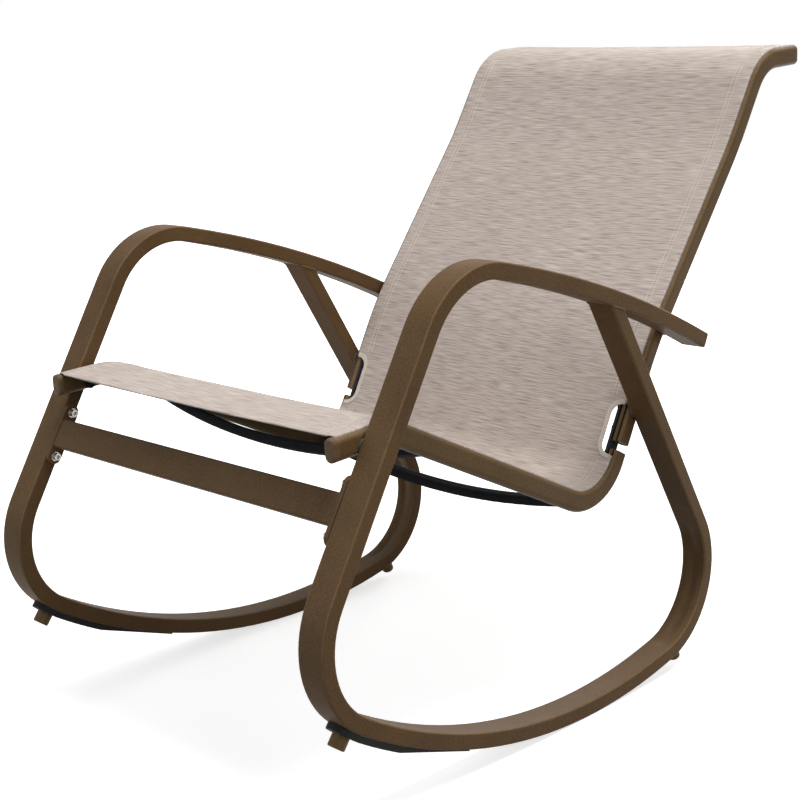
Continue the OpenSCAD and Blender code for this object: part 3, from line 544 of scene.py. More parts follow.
def lay_trough(tree: Tree, given: Sockets) -> Sockets:
    """The shallow trough that bending presses into the tube's inner wall, as a height in metres.

    Args:
        tree: the group's tree.
        given: its inputs by name.
    Returns:
        Its outputs by name.
    """
    geometry = tree.node("NewGeometry").outputs
    split = tree.split(geometry["Position"])
    across = tree.math("SUBTRACT", tree.math("ABSOLUTE", split[0]), given["Middle"])
    across = tree.math("DIVIDE", across, given["Half"])
    hollow = tree.math("EXPONENT", tree.times(across, across, -7.0))
    side = tree.join(Y=split[1], Z=split[2])
    masks = []
    for bend in TUBE_BENDS:
        away = tree.vector("SUBTRACT", side, LINES.place(bend.centre, 0.0))
        far = tree.vector("LENGTH", away)
        way = tree.vector("NORMALIZE", away)
        wall = tree.fit(tree.math("ABSOLUTE", tree.math("SUBTRACT", far, bend.inner)), 0.001, 0.005, 1.0, 0.0)
        inward = tree.vector("DOT_PRODUCT", way, geometry["Normal"])
        turn = tree.vector("DOT_PRODUCT", way, bend.middle)
        half = math.radians(bend.turn / 2)
        span = tree.fit(turn, math.cos(half * 1.12), math.cos(half * 0.55))
        masks.append(tree.times(wall, span, tree.fit(inward, -0.3, -0.8)))
    mask = reduce(lambda a, b: tree.math("MAXIMUM", a, b), masks)
    return {"Height": tree.times(tree.times(mask, hollow), tree.times(given["Depth"], -1.0))}


class Effect(Enum):
    """The shared effects, each one node group."""

    COAT = "powder_coat_grain"
    WEAR_AND_HIGHLIGHT = "edge_wear_and_corner_highlight"
    DUST = "settled_dust"
    WEAVE = "sling_weave"
    SCUFF = "rubber_scuff"
    TROUGH = "bend_trough"


GREY = (0.2, 0.2, 0.2, 1.0)
EFFECTS = {
    Effect.COAT: (lay_coat, {"Base": GREY, "Cloud": GREY, "Fleck": GREY, "Speckle": 0.3, "Roughness": 0.4}),
    Effect.WEAR_AND_HIGHLIGHT: (lay_wear_and_highlight, {"Radius": 0.002, "Amount": 0.5, "Corner": 0.0}),
    Effect.DUST: (lay_dust, {"Amount": 0.2}),
    Effect.WEAVE: (lay_weave, {"Base": GREY, "Dark": GREY, "Pale": GREY, "Pitch": 0.001}),
    Effect.SCUFF: (lay_scuff, {"Base": GREY, "Scuffed": GREY, "Amount": 0.3}),
    Effect.TROUGH: (lay_trough, {"Middle": 0.295, "Half": 0.02, "Depth": 0.002}),
}


def group(effect: Effect) -> bpy.types.NodeTree:
    """Builds an effect's node group once and returns it afterwards.

    Args:
        effect: which effect.
    Returns:
        The group.
    """
    made = bpy.data.node_groups.get(effect.value)
    if made:
        return made
    made = bpy.data.node_groups.new(effect.value, "ShaderNodeTree")
    lay, defaults = EFFECTS[effect]
    for name, default in defaults.items():
        kind = "NodeSocketColor" if isinstance(default, tuple) else "NodeSocketFloat"
        made.interface.new_socket(name, in_out="INPUT", socket_type=kind).default_value = default
    tree = Tree(made)
    given = tree.node("NodeGroupInput").outputs
    results = lay(tree, {name: given[name] for name in defaults})
    for name in results:
        kind = "NodeSocketColor" if name == "Color" else "NodeSocketFloat"
        made.interface.new_socket(name, in_out="OUTPUT", socket_type=kind)
    tree.node("NodeGroupOutput", results)
    return made


def use(tree: Tree, effect: Effect, **values: object) -> Sockets:
    """Places an effect in a material with its own values, and gives its outputs."""
    return tree.node("Group", values, node_tree=group(effect)).outputs


# ---- finishes


@dataclass(frozen=True)
class Finish:
    """Base of all finishes: makes a material once and keeps it."""

    name: str

    def material(self) -> bpy.types.Material:
        """The finish's material, made at the first call.

        Returns:
            The material.
        """
        made = bpy.data.materials.get(self.name)
        if made is None:
            made = bpy.data.materials.new(self.name)
            tree = Tree.emptied(made)
            tree.node("OutputMaterial", {"Surface": tree.node("BsdfPrincipled", self.lay(tree)).outputs[0]})
        return made

    def lay(self, tree: Tree) -> dict[str, object]:
        """Lays the finish's nodes and gives the shader's inputs."""
        raise NotImplementedError

    def dress(self, piece: Object) -> None:
        """Gives a piece this finish in all its slots.

        Args:
            piece: the piece to dress.
        """
        made = self.material()
        if not piece.data.materials:
            piece.data.materials.append(made)
        for slot in piece.material_slots:
            slot.material = made


@dataclass(frozen=True)
class PowderCoat(Finish):
    """Satin powder coat with speckle, settled dust, rubbed edges, painted highlights along the tube's corners and
    the trough of the tube's bends.
    """

    base: Colour
    cloud: Colour
    fleck: Colour
    bare_and_highlight: Colour
    roughness: float = 0.46
    speckle: float = 0.2
    wear: float = 0.3
    dust: float = 0.04
    grain: float = 0.12
    shine: float = 0.07
    # corner: strength of the painted highlight along the tube's corners
    corner: float = 0.0
    trough: float = 0.0
    dust_tone: Colour = colour(150, 143, 135)

    def lay(self, tree: Tree) -> dict[str, object]:
        """Lays coat, dust, and edge wear with painted corner highlights over each other.

        Args:
            tree: the material's tree.
        Returns:
            The shader's inputs, by name.
        """
        coat = use(tree, Effect.COAT, Base=self.base, Cloud=self.cloud, Fleck=self.fleck,
                   Speckle=self.speckle, Roughness=self.roughness)
        dust = use(tree, Effect.DUST, Amount=self.dust)[0]
        # The wear mask also carries painted highlights on the corners, which take the light edge tone
        wear = use(tree, Effect.WEAR_AND_HIGHLIGHT, Amount=self.wear, Radius=0.0016, Corner=self.corner)[0]
        over = {}
        if self.trough:
            over["Normal"] = tree.bump(use(tree, Effect.TROUGH, Depth=self.trough)[0], 1.0, 1.0)
        return {"Base Color": tree.blend(wear, tree.blend(dust, coat["Color"], self.dust_tone), self.bare_and_highlight),
                "Roughness": coat["Roughness"], "Normal": tree.bump(coat["Height"], self.grain, 0.0004, over),
                "Specular IOR Level": self.shine}


@dataclass(frozen=True)
class Moulded(Finish):
    """Moulded rubber or plastic with pores and grey scuffs, and painted highlights round its edges where corner is
    set.
    """

    base: Colour
    scuffed_and_highlight: Colour
    roughness: float = 0.6
    corner: float = 0.0
    scuff: float = 0.3
    dust: float = 0.05
    grain: float = 0.2
    shine: float = 0.12
    dust_tone: Colour = colour(120, 116, 110)

    def lay(self, tree: Tree) -> dict[str, object]:
        """Lays scuffs, dust and painted edge highlights.

        Args:
            tree: the material's tree.
        Returns:
            The shader's inputs, by name.
        """
        scuff = use(tree, Effect.SCUFF, Base=self.base, Scuffed=self.scuffed_and_highlight, Amount=self.scuff)
        dust = use(tree, Effect.DUST, Amount=self.dust)[0]
        # On the caps this edge mask paints a highlight round the rim in the lighter second tone
        wear = use(tree, Effect.WEAR_AND_HIGHLIGHT, Amount=self.corner, Radius=0.0014)[0]
        return {"Base Color": tree.blend(wear, tree.blend(dust, scuff["Color"], self.dust_tone), self.scuffed_and_highlight),
                "Roughness": self.roughness, "Specular IOR Level": self.shine,
                "Normal": tree.bump(scuff["Height"], self.grain, 0.0003)}


@dataclass(frozen=True)
class PlatedSteel(Finish):
    """Zinc-plated steel with fine turning lines and dull spots."""

    base: Colour
    dull: Colour

    def lay(self, tree: Tree) -> dict[str, object]:
        """Lays the plating.

        Args:
            tree: the material's tree.
        Returns:
            The shader's inputs, by name.
        """
        where = tree.where()
        spots = tree.fit(tree.noise(where, 420.0, 4.0, 0.65), 0.45, 0.65)
        lines = tree.noise(tree.stretch(where, (60.0, 4000.0, 4000.0)), 1.0)
        wear = use(tree, Effect.WEAR_AND_HIGHLIGHT, Amount=0.6, Radius=0.0008)[0]
        return {"Base Color": tree.blend(wear, tree.blend(spots, self.base, self.dull), self.base),
                "Roughness": tree.fit(spots, 0.0, 1.0, 0.26, 0.44), "Metallic": 1.0,
                "Normal": tree.bump(lines, 0.12, 0.0002)}


@dataclass(frozen=True)
class SlingCloth(Finish):
    """Woven coated polyester sling."""

    base: Colour
    dark: Colour
    pale: Colour
    pitch: float = 1.05 * MM
    relief: float = 0.5

    def lay(self, tree: Tree) -> dict[str, object]:
        """Lays the weave with slow stains over it.

        Args:
            tree: the material's tree.
        Returns:
            The shader's inputs, by name.
        """
        weave = use(tree, Effect.WEAVE, Base=self.base, Dark=self.dark, Pale=self.pale, Pitch=self.pitch)
        stain = tree.fit(tree.noise(tree.where(), 4.5, 4.0, 0.6), 0.35, 0.75, 0.0, 0.22)
        return {"Base Color": tree.blend(stain, weave["Color"], self.dark), "Roughness": weave["Roughness"],
                "Normal": tree.bump(weave["Height"], self.relief, 0.0005),
                "Sheen Weight": 0.12, "Sheen Roughness": 0.4}


@dataclass(frozen=True)
class Thread(Finish):
    """Twisted sewing thread, and the ribbed tape that is sewn with it."""

    base: Colour
    dark: Colour
    scale: float = 300.0

    def lay(self, tree: Tree) -> dict[str, object]:
        """Lays twist and soil.

        Args:
            tree: the material's tree.
        Returns:
            The shader's inputs, by name.
        """
        where = tree.where()
        given = {"Vector": where, "Scale": self.scale, "Distortion": 1.5}
        twist = tree.node("TexWave", given, bands_direction="DIAGONAL").outputs[1]
        soil = tree.fit(tree.noise(where, 55.0, 4.0, 0.65), 0.4, 0.8, 0.0, 0.4)
        ribs = tree.blend(tree.fit(twist, 0.2, 0.8, 0.0, 0.35), self.base, self.dark)
        return {"Base Color": tree.blend(soil, ribs, self.dark), "Roughness": 0.75,
                "Normal": tree.bump(twist, 0.35, 0.0003), "Sheen Weight": 0.15}


# corner paints a highlight along the frame tubes' corners and the rails' crests in the light edge tone
FRAME_COAT = PowderCoat(
    "frame_powder_coat", base=colour(102, 79, 53), cloud=colour(82, 62, 41), fleck=colour(139, 112, 84),
    bare_and_highlight=colour(140, 116, 88), roughness=0.52, corner=0.35, trough=4.5 * MM)
RAIL_COAT = PowderCoat(
    "rail_powder_coat", base=colour(104, 82, 54), cloud=colour(88, 68, 43), fleck=colour(142, 116, 86),
    bare_and_highlight=colour(150, 128, 102), roughness=0.4, corner=0.3)
BLACK_COAT = PowderCoat(
    "black_steel_coat", base=colour(54, 54, 58), cloud=colour(46, 46, 49), fleck=colour(70, 70, 72),
    bare_and_highlight=colour(96, 94, 92), roughness=0.7, dust=0.02, shine=0.02)
RUBBER = Moulded("strip_rubber", colour(26, 25, 26), colour(78, 75, 72), 0.68)
STOP_PLASTIC = Moulded("stop_plastic", colour(96, 76, 46), colour(150, 130, 96), 0.45)
BLACK_PLASTIC = Moulded("black_plastic", colour(24, 24, 25), colour(70, 68, 66), 0.48)
# corner paints a highlight round the caps' edges in the lighter second tone
CAP_PLASTIC = Moulded("cap_plastic", colour(98, 78, 56), colour(150, 130, 106), 0.5, corner=0.9)
BOLT_STEEL = PlatedSteel("bolt_zinc", (0.42, 0.41, 0.39, 1), (0.2, 0.19, 0.175, 1))
SLING_CLOTH = SlingCloth("sling_cloth", colour(194, 181, 172), colour(148, 133, 124), colour(218, 208, 199))
SLING_THREAD = Thread("sling_thread", colour(230, 222, 212), colour(198, 187, 176))
TRIM_TAPE = Thread("trim_tape", colour(210, 200, 189), colour(172, 159, 147), 250.0)


def settle(piece: Object, finish: Finish) -> Object:
    """Gives a new piece its finish and its body.

    Args:
        piece: the new piece.
        finish: the finish to wear.
    Returns:
        The piece.
    """
    finish.dress(piece)
    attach(piece, BODY)
    return piece


# ---- sling


@dataclass
class Sling:
    """The one-piece woven sling with its hems, cut-outs, tape and stitching."""

    thick: float = 1.2 * MM
    end_gap: float = 1.0 * MM
    rail_mid: float = 264.0 * MM
    rail_half: float = 8.0 * MM
    rail_top: float = 15.0 * MM
    lift: float = 0.2 * MM
    sag: float = 2.0 * MM
    mouth: float = 1.2 * MM
    tail: float = 6.5 * MM
    edge_round: float = 1.4 * MM
    hem: float = 24.0 * MM
    hem_drop: float = 1.3 * MM
    cut_start: float = 2.5 * MM
    cut_length: float = 76.0 * MM
    cut_depth: float = 21.5 * MM
    cut_corner: float = 17.0 * MM
    tape_width: float = 6.2 * MM
    tape_thick: float = 0.55 * MM
    step_along: float = 4.0 * MM
    step_across: float = 5.0 * MM
    stitch: float = 3.4 * MM
    seam_rows: Flat = (20.0 * MM, 26.5 * MM)
    run: Run = field(init=False)
    cut_low: float = field(init=False)
    cut_high: float = field(init=False)

    def __post_init__(self) -> None:
        """Walks the sling's line and finds where its cut-outs lie."""
        self.run = LINES.sling_run(self.end_gap)
        self.cut_low = LINES.crook_end() - self.end_gap + self.cut_start
        self.cut_high = self.cut_low + self.cut_length

    @property
    def edge(self) -> float:
        """Half the width to the middle of the cloth in the groove's mouth."""
        return self.rail_mid + self.mouth

    @property
    def reach(self) -> float:
        """Half the cloth's width with its tail in the groove."""
        return self.edge + self.edge_round * (math.pi / 2 - 1) + self.tail

    @property
    def tab(self) -> float:
        """Half the width of the hems, which turn under between the rails."""
        return self.rail_mid - self.rail_half - 0.6 * MM

    @property
    def fold(self) -> float:
        """Length of the cloth in a hem's turn."""
        return self.hem_drop / 2 * math.pi

    @property
    def cut_inner(self) -> float:
        """Distance across to the cut-outs' inner edge."""
        return self.edge + self.thick / 2 - self.cut_depth

    def section(self, x: float) -> tuple[float, float]:
        """The cloth's middle layer across the chair.

        Args:
            x: distance across the flat cloth from its middle; past the edge it runs down into the groove.
        Returns:
            Distance across the chair and height over the rail's line.
        """
        side, reach = math.copysign(1.0, x), abs(x)
        radius = (self.rail_mid ** 2 + self.sag ** 2) / (2 * self.sag)
        low = self.rail_top + self.lift + self.thick / 2 - self.sag
        start = self.edge - self.edge_round
        flat = min(reach, start)
        height = low + radius - math.sqrt(radius ** 2 - flat ** 2)
        if reach <= start:
            return x, height
        bend = min((reach - start) / self.edge_round, math.pi / 2)
        down = max(reach - start - self.edge_round * math.pi / 2, 0.0)
        across = start + self.edge_round * math.sin(bend)
        return side * across, height - self.edge_round * (1 - math.cos(bend)) - down

    def place(self, s: float, x: float, proud: float = 0.0) -> Vector:
        """A point of the cloth's middle layer.

        Args:
            s: length along the cloth; below 0 and past the run's length it turns under into the hem.
            x: distance across.
            proud: distance out of the cloth's upper side.
        Returns:
            The point in the row frame.
        """
        across, height = self.section(x)
        end = 0.0 if s < 0 else self.run.length
        over = -s if s < 0 else max(s - end, 0.0)
        if over == 0:
            return Vector(LINES.place(self.run.pose(s).aside(height + proud), across))
        radius = self.hem_drop / 2
        turn = min(over / radius, math.pi)
        back = max(over - self.fold, 0.0)
        out = 1 if end else -1
        along = end + out * ((radius + proud) * math.sin(turn) - back)
        drop = radius - (radius + proud) * math.cos(turn)
        return Vector(LINES.place(self.run.pose(along).aside(height - drop), across))

    def ripple(self, s: float, x: float) -> float:
        """Small unevenness of the cloth, out of its plane."""
        slow = math.sin(s * 19 + 1.3 * math.sin(x * 11)) * math.cos(x * 14 + s * 5)
        fine = math.sin(s * 160 + 2.0 * math.sin(x * 60))
        seam = math.exp(-((abs(x) - 0.236) / 0.008) ** 2)
        return 0.00025 * slow + 0.00012 * fine * seam

    def cut_outline(self, grow: float, side: int, points: int = 8) -> list[Flat]:
        """The cut-out's edge on the flat cloth, from the groove round to the groove again.

        Args:
            grow: how far outside the cut-out the line lies.
            side: 1 for the near side, -1 for the far side.
            points: points on each rounded corner.
        Returns:
            Pairs of length along and distance across.
        """
        low, high = self.cut_low - grow, self.cut_high + grow
        corner, inner = self.cut_corner + grow, self.cut_inner - grow
        turns = [math.pi / 2 * k / points for k in range(points + 1)]
        bend = [(corner * (1 - math.cos(turn)), inner + corner * (1 - math.sin(turn))) for turn in turns]
        straight = high - low - 2 * corner
        count = max(int(straight / (3 * MM)), 1)
        line = [(low, self.reach), (low, self.edge - 2 * MM), *((low + s, x) for s, x in bend),
                *((low + corner + straight * k / count, inner) for k in range(1, count)),
                *((high - s, x) for s, x in reversed(bend)), (high, self.edge - 2 * MM), (high, self.reach)]
        return [(s, side * x) for s, x in line]

    def outline(self) -> list[Flat]:
        """The flat cloth's outline with cut-outs and hems, its points no further apart than the grid's."""
        end, tab, reach = self.run.length, self.tab, self.reach
        low, high = -(self.fold + self.hem), end + self.fold + self.hem
        line = [(low, -tab), (low, tab), (0.0, tab), (0.0, reach), *self.cut_outline(0.0, 1), (end, reach),
                (end, tab), (high, tab), (high, -tab), (end, -tab), (end, -reach),
                *reversed(self.cut_outline(0.0, -1)), (0.0, -reach), (0.0, -tab)]
        made: list[Flat] = []
        for a, b in zip(line, line[1:] + line[:1]):
            count = max(int(math.hypot(b[0] - a[0], b[1] - a[1]) / self.step_along), 1)
            made += [(a[0] + (b[0] - a[0]) * k / count, a[1] + (b[1] - a[1]) * k / count) for k in range(count)]
        return made

    def grid(self) -> list[Flat]:
        """Grid points of the flat cloth, closer together where it bends over the rails and at the hems."""
        end = self.run.length
        ends = self.fold * np.arange(1, 6) / 5
        rows = np.concatenate([
            -self.fold - np.arange(self.hem - 2 * MM, 0, -self.step_along), -ends[::-1],
            np.linspace(0, end, int(end / self.step_along)),
            end + ends, end + self.fold + np.arange(self.step_along, self.hem - MM, self.step_along),
        ])
        start = self.edge - self.edge_round
        bend = start + self.edge_round * math.pi / 2 * (np.arange(1, 6) / 5)
        outer = bend[-1] + np.array([2 * MM, 4 * MM])
        half = np.concatenate([np.linspace(0, start, int(start / self.step_across)), bend, outer])
        return [(float(s), float(x)) for s in rows for x in np.concatenate([-half[:0:-1], half])]

    def inside(self, s: float, x: float, margin: float) -> bool:
        """Whether a grid point lies in the cloth and clear of its outline.

        Args:
            s: length along the cloth.
            x: distance across.
            margin: how far it keeps from the outline.
        Returns:
            True where the point is kept.
        """
        if (s < margin or s > self.run.length - margin) and abs(x) > self.tab - margin:
            return False
        if not self.cut_low - margin < s < self.cut_high + margin or abs(x) <= self.cut_inner - margin:
            return True
        corner_x = self.cut_inner + self.cut_corner
        corner_s = min(max(s, self.cut_low + self.cut_corner), self.cut_high - self.cut_corner)
        return abs(x) <= corner_x and math.hypot(s - corner_s, abs(x) - corner_x) > self.cut_corner + margin

    def build_cloth(self) -> Object:
        """Cuts the flat cloth, lays it on the rails and gives it its thickness."""
        rim = self.outline()
        inner = [p for p in self.grid() if self.inside(*p, 1.2 * MM)]
        points = [Vector(p) for p in rim + inner]
        edges = [(i, (i + 1) % len(rim)) for i in range(len(rim))]
        flat, _, faces, *_ = delaunay_2d_cdt(points, edges, [], 1, 1e-7)
        placed = [self.place(p.x, p.y, self.ripple(p.x, p.y)) for p in flat]
        # The face-down order turned round, so that the cloth's upper side is its front
        piece = new_mesh("sling_cloth", placed, [face[::-1] for face in faces])
        layer = piece.data.uv_layers.new(name="cloth")
        for loop in piece.data.loops:
            p = flat[loop.vertex_index]
            layer.data[loop.index].uv = (p.y, p.x)
        thicken(piece, self.thick * 0.85)
        settle(piece, SLING_CLOTH)
        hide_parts("sling")
        return piece

    def build_tape(self, side: int) -> Object:
        """The tape folded over one cut-out's edge.

        Args:
            side: 1 for the near side, -1 for the far side.
        Returns:
            The tape.
        """
        name = "right" if side > 0 else "left"
        gap, proud = 0.3 * MM, (self.thick + self.tape_thick) / 2
        band = [self.tape_width * k / 6 + gap for k in range(7)]
        turns = [math.pi * k / 6 for k in range(1, 6)]
        stations = [*((grow, proud) for grow in reversed(band)),
                    *((gap - proud * math.sin(turn), proud * math.cos(turn)) for turn in turns),
                    *((grow, -proud) for grow in band)]
        count = 90
        wobble = smooth_noise(count, 6, 11 + side)
        points: list[Point] = []
        faces: list[tuple[int, ...]] = []
        for j, (grow, height) in enumerate(stations):
            line = self.cut_outline(max(grow, -0.6 * MM), side, 10)[1:-1]
            for i, (s, x) in enumerate(resampled(line, count)):
                pucker = 0.18 * MM * wobble[i] * (1 if height > 0 else 0.5)
                edge = 0.5 * MM * wobble[(i * 3) % count] if j in (0, len(stations) - 1) else 0.0
                points.append(tuple(self.place(s + edge, x, height + pucker)))
        for j in range(len(stations) - 1):
            for a in range(j * count, (j + 1) * count - 1):
                face = (a, a + 1, a + count + 1, a + count)
                faces.append(face if side > 0 else (face[0], *face[:0:-1]))
        piece = new_mesh(f"cutout_tape_{name}", points, faces)
        thicken(piece, self.tape_thick)
        settle(piece, TRIM_TAPE)
        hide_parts(f"cutout_trim_{name}")
        return piece

    def sew(self, bag: MeshBag, line: list[Flat]) -> None:
        """Sews one row of stitches along a line on the cloth.

        Args:
            bag: where the stitches go.
            line: pairs of length along and distance across.
        """
        at, far = measured(line)
        shares = np.array([0.1, 0.2, 0.5, 0.8, 0.9])
        heights = np.array([-0.15, 0.2, 0.42, 0.2, -0.15]) * MM
        radii = np.array([0.24, 0.46, 0.5, 0.46, 0.24]) * MM
        for i in range(int(far[-1] / self.stitch)):
            want = (i + shares) * self.stitch
            spots = [self.place(s, x, self.thick * 0.425 + h + self.ripple(s, x))
                     for s, x, h in zip(*(np.interp(want, far, column) for column in at.T), heights)]
            bag.add(*swept_tube(spots, radii, 6, 0.8))

    def build_stitching(self) -> Object:
        """All the rows of stitches: two along each side, one on each hem and one on each tape."""
        bag = MeshBag()
        end = self.run.length
        low, high = self.cut_low - self.tape_width - 4 * MM, self.cut_high + self.tape_width + 4 * MM
        for side in (1, -1):
            for x in (side * (self.edge - row) for row in self.seam_rows):
                for a, b in ((2 * MM, low), (high, end - 2 * MM)):
                    self.sew(bag, [(a, x), (b, x)])
            self.sew(bag, self.cut_outline(self.tape_width - 2.2 * MM, side)[2:-2])
        wide = self.rail_mid - self.rail_half - 4 * MM
        for s in (self.hem - 3 * MM, end - self.hem + 3 * MM):
            self.sew(bag, [(s, -wide), (s, wide)])
        return settle(bag.build("sling_stitching"), SLING_THREAD)

    def build(self) -> list[Object]:
        cloth = self.build_cloth()
        tapes = [self.build_tape(side) for side in (1, -1)]
        threads = self.build_stitching()
        return [cloth, *tapes, threads]


# ---- frame


NODE_FINISHES = (
    ("arm_cap seat_rail_cap back_rail_cap", CAP_PLASTIC), ("bracket_nuts frame_nuts stretcher_", BOLT_STEEL),
    ("joint_bracket bracket_bolts frame_bolts", BLACK_COAT),
    ("front_seat_spreader rear_seat_spreader lower_back_spreader upper_back_spreader", BLACK_COAT),
    ("frame_spacers spreader_plugs seat_rod back_rod", BLACK_PLASTIC), ("runner_strip", RUBBER),
    ("front_stop rear_stop", STOP_PLASTIC), ("seat_rail_ back_rail_", RAIL_COAT),
    ("frame_ front_stretcher", FRAME_COAT),
)


@dataclass
class FrameDressing:
    """Weld beads of the side frames, and the finishes of all the CAD nodes that stay."""

    tube_deep: float = 22 * MM
    tube_across: float = 40 * MM
    frame_mid: float = 295 * MM
    arm_middle: Flat = (-615.36 * MM, -1455.13 * MM)
    arm_under: float = 2124 * MM
    leg_foot: Pose = Pose(268.414 * MM, 213.848 * MM, 124.0)
    bead: float = 2.0 * MM
    ripple: float = 2.8 * MM

    @staticmethod
    def finish_of(node: str) -> Finish | None:
        """The first finish that is listed for a node's name."""
        worn = (finish for starts, finish in NODE_FINISHES if node.startswith(tuple(starts.split())))
        return next(worn, None)

    def weld_end(self, off: float) -> Pose:
        """Where a line beside the rear leg's middle line meets the arm's underside.

        Args:
            off: the line's distance from the middle line, towards the front.
        Returns:
            The pose there.
        """
        foot = self.leg_foot.aside(off)
        turn = math.radians(foot.heading)
        to_middle = Vector((self.arm_middle[0] - foot.y, self.arm_middle[1] - foot.z))
        along = to_middle.dot(Vector((math.cos(turn), math.sin(turn))))
        return foot.ahead(along + math.sqrt(self.arm_under ** 2 - (to_middle.length_squared - along ** 2)))

    def bead_run(self, bag: MeshBag, a: Vector, b: Vector, out: Vector, seed: int) -> None:
        """One weld bead with its ripples.

        Args:
            bag: where the bead goes.
            a: its first end.
            b: its last end.
            out: the direction that it stands proud in.
            seed: the seed of its unevenness.
        """
        count = max(int((b - a).length / (self.ripple / 5)), 8)
        uneven = smooth_noise(count + 1, 7, seed)
        spots, radii = [], []
        for i in range(count + 1):
            share = i / count
            wave = abs(math.sin(math.pi * share * (b - a).length / self.ripple))
            close = min(1.0, 8 * share, 8 * (1 - share))
            radii.append(self.bead * (0.35 + 0.65 * close) * (0.86 + 0.14 * wave + 0.06 * uneven[i]))
            spots.append(a.lerp(b, share) + out * (0.12 * self.bead * uneven[i]))
        bag.add(*swept_tube(spots, radii, 10, 0.6, out))

    def build_welds(self, side: int) -> Object:
        """The weld beads round the rear leg's top, under the arm.

        Args:
            side: 1 for the near side, -1 for the far side.
        Returns:
            The beads.
        """
        bag = MeshBag()
        half = self.tube_across / 2
        front, rear = (self.weld_end(off) for off in (self.tube_deep / 2, -self.tube_deep / 2))
        turn = math.radians(self.leg_foot.heading)
        ahead = Vector((0, -math.sin(turn), math.cos(turn)))
        along = Vector((0, math.cos(turn), math.sin(turn)))
        for k, (pose, way) in enumerate(((front, 1), (rear, -1))):
            ends = [Vector(LINES.place(pose, side * (self.frame_mid + x))) for x in (3 * MM - half, half - 3 * MM)]
            self.bead_run(bag, *ends, (ahead * way - along).normalized(), 31 + k)
        for k, x in enumerate((self.frame_mid - half, self.frame_mid + half)):
            ends = [Vector(LINES.place(pose, side * x)) for pose in (front, rear)]
            self.bead_run(bag, *ends, Vector((side * (1 if k else -1), 0, 0)), 41 + k)
        piece = bag.build("leg_weld_right" if side > 0 else "leg_weld_left")
        return settle(piece, FRAME_COAT)

    def dress(self) -> None:
        """Gives every CAD node that stays its detailed finish."""
        for node, piece in sorted(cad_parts.items()):
            finish = self.finish_of(node)
            if finish:
                finish.dress(piece)
                LOG.info("CAD node %s wears %s", node, finish.name)


# ---- stage


@dataclass(frozen=True)
class Lamp:
    """A square area lamp: its place, the point it shines at, its side in metres, its watts and its colour."""

    name: str
    place: Point
    aim: Point
    side: float
    power: float
    tint: Point

    def hang(self) -> None:
        """Makes the lamp."""
        data = bpy.data.lights.new(self.name, "AREA")
        data.shape, data.size, data.energy, data.color = "SQUARE", self.side, self.power, self.tint
        made = bpy.data.objects.new(self.name, data)
        made.location = self.place
        made.rotation_euler = (Vector(self.aim) - Vector(self.place)).to_track_quat("-Z", "Y").to_euler()
        bpy.context.scene.collection.objects.link(made)


LAMPS = (
    Lamp("key_light", (1.35, 0.67, 7.4), (0, 0, 0.4), 3.3, 500.0, (1.0, 0.985, 0.965)),
    Lamp("front_light", (-1.4, -3.3, 1.0), (0, 0, 0.45), 2.4, 36.0, (0.82, 0.9, 1.0)),
    Lamp("side_light", (3.4, -0.9, 1.5), (0, 0, 0.4), 2.2, 36.0, (1.0, 0.98, 0.94)),
    Lamp("rear_light", (-1.2, 4.4, 2.2), (0, 0, 0.6), 2.6, 90.0, (1.0, 0.99, 0.97)),
)


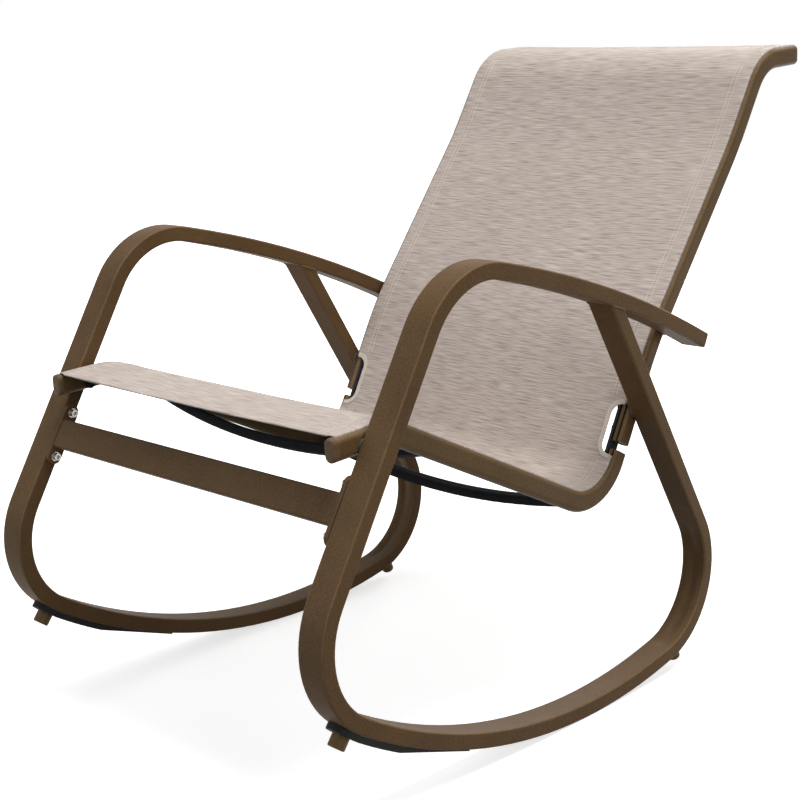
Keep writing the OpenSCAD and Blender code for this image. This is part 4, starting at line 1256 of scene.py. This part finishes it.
@dataclass
class Studio:
    """Floor, world, lamps and camera."""

    eye: Point = (1.43894, -1.63349, 0.88365)
    azimuth: float = 42.675
    elevation: float = 12.572
    lens: float = 67.755
    floor_half: float = 14.0
    room_light: float = 0.26
    floor_lit: Colour = colour(66, 66, 56)
    floor_seen: Colour = colour(226, 226, 226)

    def floor(self) -> None:
        """A pale floor that shows white to the camera and keeps the chair's shadow."""
        half = self.floor_half
        piece = new_mesh("studio_floor", [(-half, -half, 0), (half, -half, 0), (half, half, 0), (-half, half, 0)],
                         [(0, 1, 2, 3)])
        made = bpy.data.materials.new("pale_floor")
        tree = Tree.emptied(made)
        seen = self.seen(tree)
        shader = tree.node("BsdfPrincipled", {"Base Color": tree.blend(seen, self.floor_lit, self.floor_seen),
                                              "Roughness": 0.9, "Specular IOR Level": 0.0})
        glow = tree.fit(tree.vector("LENGTH", tree.where()), 0.9, 2.2, 0.65, 1.2)
        white = tree.node("Emission", {"Color": (1, 1, 1, 1), "Strength": tree.times(seen, glow)})
        both = tree.node("AddShader", {0: shader.outputs[0], 1: white.outputs[0]})
        tree.node("OutputMaterial", {"Surface": both.outputs[0]})
        piece.data.materials.append(made)

    @staticmethod
    def seen(tree: Tree) -> Socket:
        """1 for camera, glossy and transmission rays, otherwise 0."""
        rays = tree.node("LightPath").outputs
        some = tree.math("MAXIMUM", rays["Is Camera Ray"], rays["Is Glossy Ray"])
        return tree.math("MAXIMUM", some, rays["Is Transmission Ray"])

    def world(self) -> None:
        """A white background and a softer plain light."""
        made = bpy.data.worlds.new("studio_world")
        bpy.context.scene.world = made
        tree = Tree.emptied(made)
        strength = tree.plus(tree.times(self.seen(tree), 1 - self.room_light), self.room_light)
        shader = tree.node("Background", {"Color": (1, 1, 1, 1), "Strength": strength})
        tree.node("OutputWorld", {"Surface": shader.outputs[0]})

    def camera(self) -> None:
        """The photograph's camera."""
        data = bpy.data.cameras.new("photo_camera")
        data.lens, data.sensor_width = self.lens, 36.0
        data.clip_start, data.clip_end = 0.05, 60.0
        made = bpy.data.objects.new("photo_camera", data)
        made.location = self.eye
        made.rotation_euler = Euler((math.radians(90 - self.elevation), 0.0, math.radians(self.azimuth)))
        bpy.context.scene.collection.objects.link(made)
        bpy.context.scene.camera = made

    def build(self) -> None:
        """Sets the stage."""
        self.floor()
        self.world()
        for lamp in LAMPS:
            lamp.hang()
        self.camera()
        bpy.context.scene.view_settings.view_transform = "Standard"


def main() -> None:
    """Builds the dressed chair and its stage in order."""
    logging.basicConfig(level=logging.INFO, format="%(name)s: %(message)s")
    dressing = FrameDressing()
    dressing.dress()
    for piece in (*Sling().build(), dressing.build_welds(1), dressing.build_welds(-1)):
        LOG.info("made %s with %d faces", piece.name, len(piece.data.polygons))
    Studio().build()


if __name__ == "__main__":
    main()
